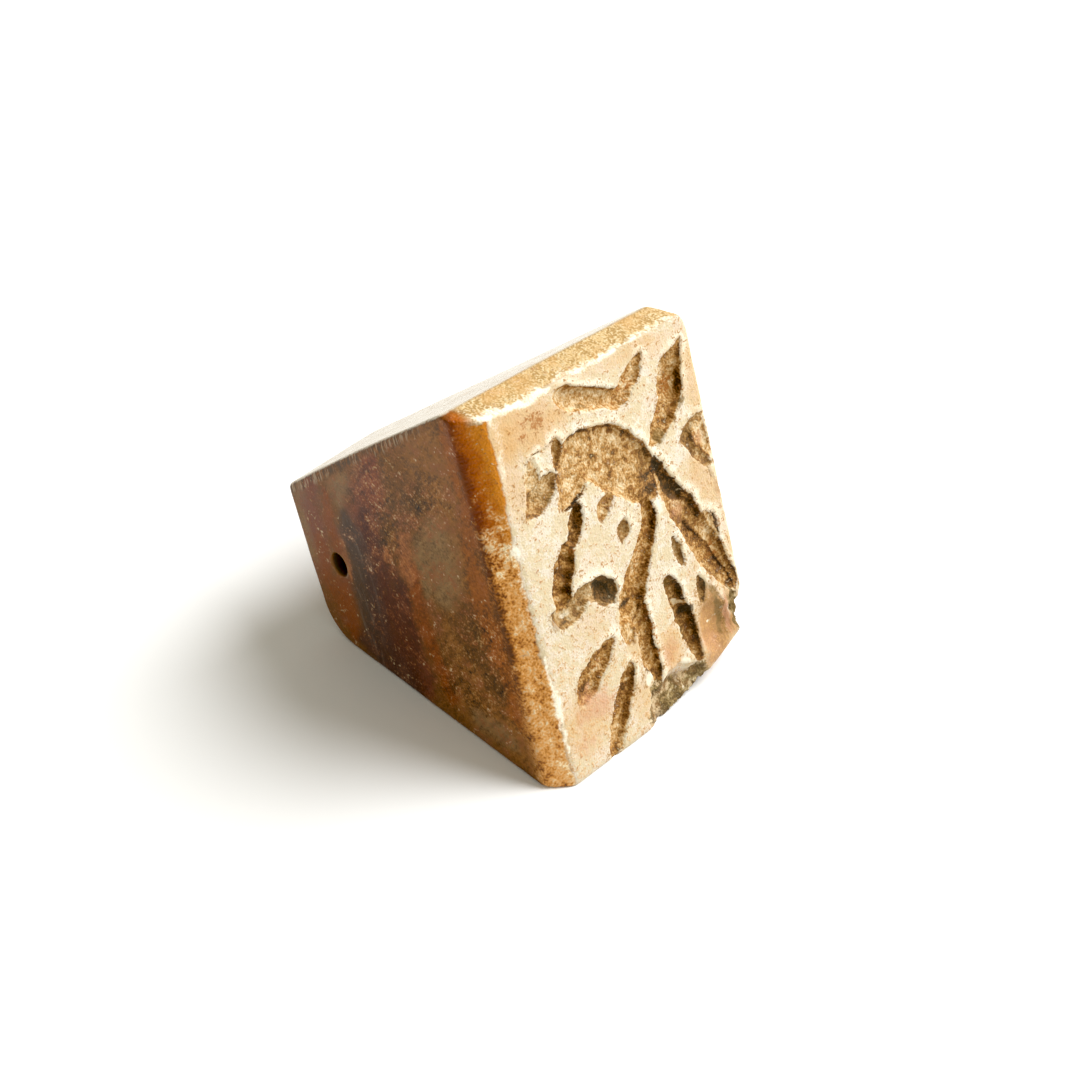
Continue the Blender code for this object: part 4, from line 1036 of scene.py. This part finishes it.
# Steps of the shader: kind of node, its settings, the sockets that its values go to, and its result
steps = {
    "field": ("Attribute", {}, (), "Vector"),
    "split": ("SeparateXYZ", {}, (0,), 0),
    "first": ("SeparateColor", {}, (0,), 0),
    "times": ("Math", {"operation": "MULTIPLY", "use_clamp": True}, (0, 1), 0),    # kept from 0 to 1
    "product": ("Math", {"operation": "MULTIPLY"}, (0, 1), 0),
    "timesPlus": ("Math", {"operation": "MULTIPLY_ADD"}, (0, 1, 2), 0),
    "minus": ("Math", {"operation": "SUBTRACT"}, (0, 1), 0),
    "larger": ("Math", {"operation": "MAXIMUM"}, (0, 1), 0),
    "between": ("MapRange", {"interpolation_type": "SMOOTHSTEP"}, (0, 1, 2), 0),    # 0 at low, 1 at high
    "over": ("Mix", {"data_type": "RGBA"}, (0, 6, 7), 2),    # share, under, over
    "mixed": ("Mix", {}, (0, 2, 3), 0),
    "ramp": ("ValToRGB", {}, (0,), 0),
    "moved": ("VectorMath", {"operation": "MULTIPLY_ADD"}, (0, 1, 2), 0),
    "scaled": ("VectorMath", {"operation": "SCALE"}, (0, "Scale"), 0),
    "turned": ("VectorRotate", {"rotation_type": "X_AXIS"}, (0, "Angle"), 0),
    "lumps": ("TexNoise", {}, ("Vector", "Scale", "Detail", "Roughness"), "Fac"),
    "tints": ("TexNoise", {}, ("Vector", "Scale", "Detail"), "Color"),
    "cells": ("TexVoronoi", {}, ("Vector", "Scale", "Randomness"), "Color"),
    "relief": ("Bump", {}, ("Height", "Strength", "Distance"), 0),
    "shader": ("BsdfPrincipled", {}, ("Base Color", "Roughness", "Normal", "IOR", "Specular IOR Level"), 0),
    "surface": ("OutputMaterial", {}, ("Surface",), None),
}


def addNode(tree, step, *values, **settings):
    # A value is a number, the name of a colour, or the result of another node
    kind, fixed, sockets, result = steps[step]
    node = tree.nodes.new("ShaderNode" + kind)
    for name, setting in {**fixed, **settings}.items():
        setattr(node, name, setting)
    for socket, value in zip(sockets, values):
        if isinstance(value, bpy.types.NodeSocket):
            tree.links.new(value, node.inputs[socket])
        else:
            value = linearColour(jasper[value]) if isinstance(value, str) else value
            node.inputs[socket].default_value = value
    return None if result is None else node.outputs[result]


def setStops(ramp, stops):
    ramp.interpolation = "EASE"
    while len(ramp.elements) < len(stops):
        ramp.elements.new(0.5)
    for element, (place, colour) in zip(ramp.elements, stops):
        element.position = place
        element.color = linearColour(colour)


def jasperMaterial():
    material = bpy.data.materials.new("bandedJasperGroundAndWorn")
    material.use_nodes = True
    tree = material.node_tree
    tree.nodes.clear()
    add = partial(addNode, tree)

    def streaks(stretch, seed, lean=0.0):
        # noise drawn out along one direction: stretch is lumps per mm across, down and behind, after a
        # turn of lean degrees on the side
        moved = add("moved", add("turned", place, math.radians(lean)), stretch, (seed, seed, seed))
        return add("lumps", moved, 1.0, 2, 0.55)

    def stirred(value, **amounts):
        # a value moved up and down by the noises, each by its own amount
        for name, amount in amounts.items():
            value = add("timesPlus", sway[name], amount, value)
        return value

    def blotchy(value, low, high, **amounts):
        # 0 where a stirred value is below low and 1 where it is above high
        return add("between", stirred(value, **amounts), low, high)

    def coat(under, over, value, low, high, strength=1.0, **amounts):
        # one colour over another, as far as a stirred value goes from low to high
        return add("over", add("times", blotchy(value, low, high, **amounts), strength), under, over)

    place = add("field", attribute_name="placeField")
    at = {}  # the mesh's fields, by what they hold
    for name, kinds in fields.items():
        at.update(zip(kinds, add("split", add("field", attribute_name=name)).node.outputs))
    noise = {}
    for name, detail in (("cloud", 2), ("patch", 3), ("mottle", 2), ("grit", 2), ("dust", 0)):
        noise[name] = add("lumps", place, 1 / jasper[name], detail, 0.6)
    # single grains with crooked outlines: a random shade for each
    crooked = add("moved", add("tints", place, 1 / jasper["crook"], 1), (0.22, 0.22, 0.22), place)
    noise["grain"] = add("first", add("cells", crooked, 1 / jasper["grain"]))
    noise["fibre"] = streaks((1.5, 3.6, 0.8), 3.0, 37.0)
    sway = {name: add("minus", value, 0.5) for name, value in noise.items()}

    # the bands, with borders broken up by the noises
    shade = coat("stone", "umber", 0.5, 0.3, 0.7, 0.3, patch=1.0, mottle=0.6)
    for name in ("tan", "ash", "umber", "mauve", "maroon", "russet", "amber", "slate", "dusk", "peach"):
        shade = coat(shade, name, at[name], -0.1, 1.15, patch=1.2, mottle=0.9, grit=0.6, dust=0.3)
    veins = add("times", add("between", streaks((1.0, 0.5, 3.0), 8.0), 0.5, 0.72), at["slate"])
    shade = add("over", add("times", veins, 0.6), shade, "slatePale")

    # grains, fibres and pale specks, stronger where the side is rough
    contrast = add("timesPlus", at["rough"], 1.0, add("timesPlus", at["smooth"], -0.8, 1.3))
    light = stirred(0.0, patch=0.8, mottle=0.8, grit=0.55, dust=0.35, grain=0.1, fibre=0.6)
    shade = add("scaled", shade, add("timesPlus", light, contrast, 1.0))
    flecks = blotchy(0.0, 0.16, 0.44, grit=1.2, dust=0.8, fibre=0.9, mottle=0.5)
    shade = add("over", add("times", flecks, add("timesPlus", at["rough"], 0.28, 0.03)), shade, "sand")
    specks = add("cells", place, 1 / jasper["fleck"])
    rare = add("timesPlus", at["rough"], 0.3, stirred(add("first", specks), patch=0.7))
    dot = add("between", specks.node.outputs["Distance"], 0.24, 0.1)
    dot = add("times", dot, add("between", rare, 1.0, 1.14))
    shade = add("over", add("times", dot, add("timesPlus", at["rough"], 0.45, 0.08)), shade, "sandPale")
    # marks of the file that dressed the upper edge of each side
    comb = streaks((6.0, 0.9, 6.0), 6.0)
    filed = blotchy(at["fromTop"], 0.75, 0.35, patch=0.9)
    filed = add("times", filed, add("between", at["behind"], *jasper["filed"]))
    for low, high, strength, name in ((0.52, 0.6, 0.7, "sootAndShade"), (0.46, 0.38, 0.45, "slopeShade")):
        line = add("times", filed, add("between", comb, low, high))
        shade = add("over", add("times", line, strength), shade, name)

    # the upper slope: paler, partly a painted reflection of the bright room at this grazing view, with faint
    # streaks from front to back
    slope = blotchy(at["fromTop"], 0.12, 0.02, grit=0.15)
    slopeSheen = coat("slope", "slopeShade", streaks((3.5, 3.5, 0.25), 1.0), 0.4, 0.75, patch=0.5, dust=0.3)
    slopeSheen = coat(slopeSheen, "warm", noise["patch"], 0.58, 0.8, 0.7)
    slopeSheenShare = add("times", slope, add("between", at["behind"], *jasper["slopeStart"]))
    shade = add("over", slopeSheenShare, shade, slopeSheen)

    # the left bevel: clear amber at the top, granular sandy tan lower down with bubbly rings between
    glow = stirred(at["across"], mottle=0.7, patch=0.8, dust=0.4)
    clear = coat("amberDark", "amberClear", glow, 0.05, 0.6)
    clear = coat(clear, "amberPale", glow, 0.5, 1.3, 0.8)
    clear = coat(clear, "amberDark", 0.0, 0.25, 0.4, 0.6, dust=1.0, grit=0.6)
    beside = add("between", at["across"], *jasper["outerEdge"])
    beside = add("times", beside, add("between", at["down"], *jasper["outerFades"]))
    lively = add("timesPlus", beside, -0.3, 0.82)
    lively = add("timesPlus", add("between", at["down"], *jasper["clearTop"]), 0.55, lively)
    grains = stirred(0.0, patch=1.4, mottle=1.2, grit=1.1, dust=0.5, grain=0.15)
    grains = add("timesPlus", grains, lively, 0.53)
    grains = add("timesPlus", add("between", at["down"], *jasper["dustyLow"]), 0.01, grains)
    grains = add("timesPlus", beside, -0.5, grains)
    grains = add("timesPlus", add("between", at["across"], *jasper["innerEdge"]), 0.09, grains)
    granular = add("ramp", grains)
    setStops(granular.node.color_ramp, jasper["sandy"])
    # arcs of light where small bubbles have broken open
    ring = add("cells", crooked, 1 / jasper["bubble"], 0.8).node.outputs["Distance"]
    arc = add("times", add("between", ring, 0.3, 0.38), add("between", ring, 0.5, 0.42))
    arc = add("times", arc, blotchy(0.5, 0.46, 0.6, mottle=1.0, patch=1.2))
    for ends in ("bubblesFrom", "bubblesTo"):
        arc = add("times", arc, add("between", at["down"], *jasper[ends]))
    granular = add("over", add("times", arc, 0.6), granular, "sandPale")
    bevel = coat(clear, granular, at["down"], *jasper["amberToSand"], mottle=4.5, grit=3.0, grain=1.0,
                 patch=2.0)

    # the top bevel: sandstone-like grains
    sandy = coat("sandDark", "sand", noise["grit"], 0.3, 0.56, mottle=1.1, dust=0.6)
    sandy = coat(sandy, "sandPale", noise["grit"], 0.56, 0.74, 0.8, dust=0.8)
    sandy = coat(sandy, "warm", noise["patch"], 0.4, 0.7, 0.65)

    # the worn skin of the face: clouds, a warm wash and flecks of dirt, thickest beside the strokes
    cream = coat("creamShade", "cream", noise["mottle"], 0.32, 0.68, patch=1.2, grit=0.8, dust=0.4)
    wash = stirred(at["warm"], cloud=0.8, patch=1.0, mottle=0.6, grit=0.5)
    cream = add("over", add("times", wash, 0.85), cream, "warm")
    cream = coat(cream, "tawny", at["tawny"], 0.0, 1.0, 0.85, patch=0.8, mottle=0.6, grit=0.3)
    cream = coat(cream, "burnishedHighlight", at["pale"], 0.3, 1.2, 0.6, cloud=1.2, patch=1.3, mottle=0.8, grit=0.4)
    freckled = stirred(0.0, grit=1.0, dust=0.7, grain=0.4, mottle=0.5)
    freckled = add("timesPlus", add("between", at["down"], *jasper["dustyLow"]), 0.12, freckled)
    cream = coat(cream, "warm", freckled, 0.1, 0.36, 0.65)
    dirt = stirred(0.0, dust=0.4, grit=0.6, grain=0.2, mottle=0.4, patch=0.5)
    cream = coat(cream, "speck", add("timesPlus", at["dirty"], 0.2, dirt), 0.17, 0.4, 0.6)

    # the floor of a stroke: grains from pale sand to dark earth, darkened further by the painted shade along
    # its walls
    dark = add("timesPlus", at["edge"], 0.4, at["tone"])
    floor = add("ramp", stirred(dark, grit=0.85, mottle=0.75, patch=0.5, dust=0.3, grain=0.25))
    setStops(floor.node.color_ramp, jasper["floors"])
    floor = add("over", add("times", at["grey"], 0.7), floor, add("over", 0.55, floor, "floorGrey"))
    stroke = blotchy(at["depth"], 0.02, 0.1, grit=0.1)

    # broken stone
    broken = coat("fractureDark", "fracture", noise["mottle"], 0.4, 0.62, grit=0.9)
    broken = coat(broken, "fracturePale", noise["mottle"], 0.56, 0.76, patch=1.2, grit=0.6)
    broken = coat(broken, "tawny", noise["patch"], 0.5, 0.62, 0.35)

    for name, over in (("leftBevel", bevel), ("topBevel", sandy), ("crust", cream)):
        shade = add("over", at[name], shade, over)
    shade = add("over", stroke, shade, floor)
    shade = coat(shade, broken, at["broken"], 0.3, 0.75, mottle=1.6, grit=1.2, dust=0.5)
    for name, (low, high, strength, amounts) in marks.items():
        shade = coat(shade, name, at[name], low, high, strength, **amounts)
    shade = add("over", at["inBore"], shade, "boreDark")

    # gloss: a soft polish on the sides, more on the upper slope, dry on the face, dull in the strokes
    gloss = stirred(add("timesPlus", slope, jasper["slopePolish"], jasper["polish"]), mottle=0.25)
    gloss = add("mixed", at["crust"], gloss, jasper["dryFace"])
    gloss = add("mixed", stroke, gloss, jasper["dryStroke"])
    # relief in mm: grit in the face and bevels, coarser in the strokes, faint on the polished sides
    dry = add("timesPlus", at["rough"], jasper["roughGrit"], jasper["sideGrit"])
    bevels = add("larger", at["leftBevel"], at["topBevel"])
    for share, much in ((bevels, "bevelGrit"), (at["crust"], "faceGrit"), (stroke, "strokeGrit"),
                        (at["broken"], "brokenGrit")):
        dry = add("timesPlus", share, jasper[much], dry)
    height = add("product", stirred(noise["grit"], dust=0.5, grain=0.3), dry)
    relief = add("relief", height, 1.0, mm)
    add("surface", add("shader", shade, gloss, relief, jasper["ior"], jasper["specular"]))
    return material


sealStone.data.materials.clear()
sealStone.data.materials.append(jasperMaterial())
print("jasper material made")

# Table and light: a white sheet, one large soft window light to the right and a pale room around it
studio = {
    "tableHalf": 0.6,                              # m
    "tableColour": "#f4f4f3", "tableRoughness": 0.9, "tableSpecular": 0.2,
    "windowFrom": -23.0, "windowHeight": 50.0,     # degrees: compass direction from +X, and up
    "windowFar": 0.35, "windowSize": 0.32, "windowPower": 2.2,    # m, m, W
    "windowColour": "#fbfcff",
    "room": 0.49, "roomColour": "#fffbea",
    "blackPoint": 0.012,                           # taken off the darkest shades, as a camera's contrast does
    "aim": (0, -0.002, 0.008),
}


def layTable():
    half = studio["tableHalf"]
    corner = [(-half, -half, 0), (half, -half, 0), (half, half, 0), (-half, half, 0)]
    mesh = bpy.data.meshes.new("tableTop")
    mesh.from_pydata(corner, [], [(0, 1, 2, 3)])
    newObject("tableTop", mesh)
    # matt white paper, uncoated: a soft even white with hardly any gloss
    paper = bpy.data.materials.new("whitePaperMatt")
    paper.use_nodes = True
    shader = paper.node_tree.nodes["Principled BSDF"].inputs
    shader["Base Color"].default_value = linearColour(studio["tableColour"])
    shader["Roughness"].default_value = studio["tableRoughness"]
    shader["Specular IOR Level"].default_value = studio["tableSpecular"]
    mesh.materials.append(paper)


def hangLights():
    around, rise = math.radians(studio["windowFrom"]), math.radians(studio["windowHeight"])
    towards = Vector((math.cos(around) * math.cos(rise), math.sin(around) * math.cos(rise), math.sin(rise)))
    window = bpy.data.lights.new("softWindow", "AREA")
    window.shape, window.size, window.energy = "DISK", studio["windowSize"], studio["windowPower"]
    window.color = linearColour(studio["windowColour"])[:3]
    holder = newObject("softWindow", window)
    holder.location = Vector(studio["aim"]) + towards * studio["windowFar"]
    holder.rotation_euler = (-towards).to_track_quat("-Z", "Y").to_euler()
    room = bpy.data.worlds.new("paleRoom")
    room.use_nodes = True
    background = room.node_tree.nodes["Background"].inputs
    background["Color"].default_value = linearColour(studio["roomColour"])
    background["Strength"].default_value = studio["room"]
    bpy.context.scene.world = room
    look = bpy.context.scene.view_settings
    look.view_transform, look.look = "Standard", "None"
    look.use_curve_mapping = True
    look.curve_mapping.black_level = (studio["blackPoint"],) * 3


layTable()
hangLights()

# Camera, from the left and above, as the photo was taken
view = {
    "place": (-58.90, -54.30, 69.33),              # mm
    "turn": (51.8355, -2.2456, -46.1473),          # degrees
    "focal": 1834.0,                               # pixels, in a picture 1080 pixels wide
    "picture": 1080, "sensor": 36.0,
    "clip": (0.001, 10.0),                         # m
}


def setCamera():
    lens = bpy.data.cameras.new("camera")
    lens.sensor_width = view["sensor"]
    lens.lens = view["focal"] / view["picture"] * view["sensor"]
    lens.clip_start, lens.clip_end = view["clip"]
    holder = newObject("camera", lens)
    holder.location = Vector(view["place"]) * mm
    holder.rotation_euler = Euler([math.radians(a) for a in view["turn"]], "XYZ")
    bpy.context.scene.camera = holder


setCamera()
print("table, light and camera set")

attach(sealStone, "root")
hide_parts("seal_stone")
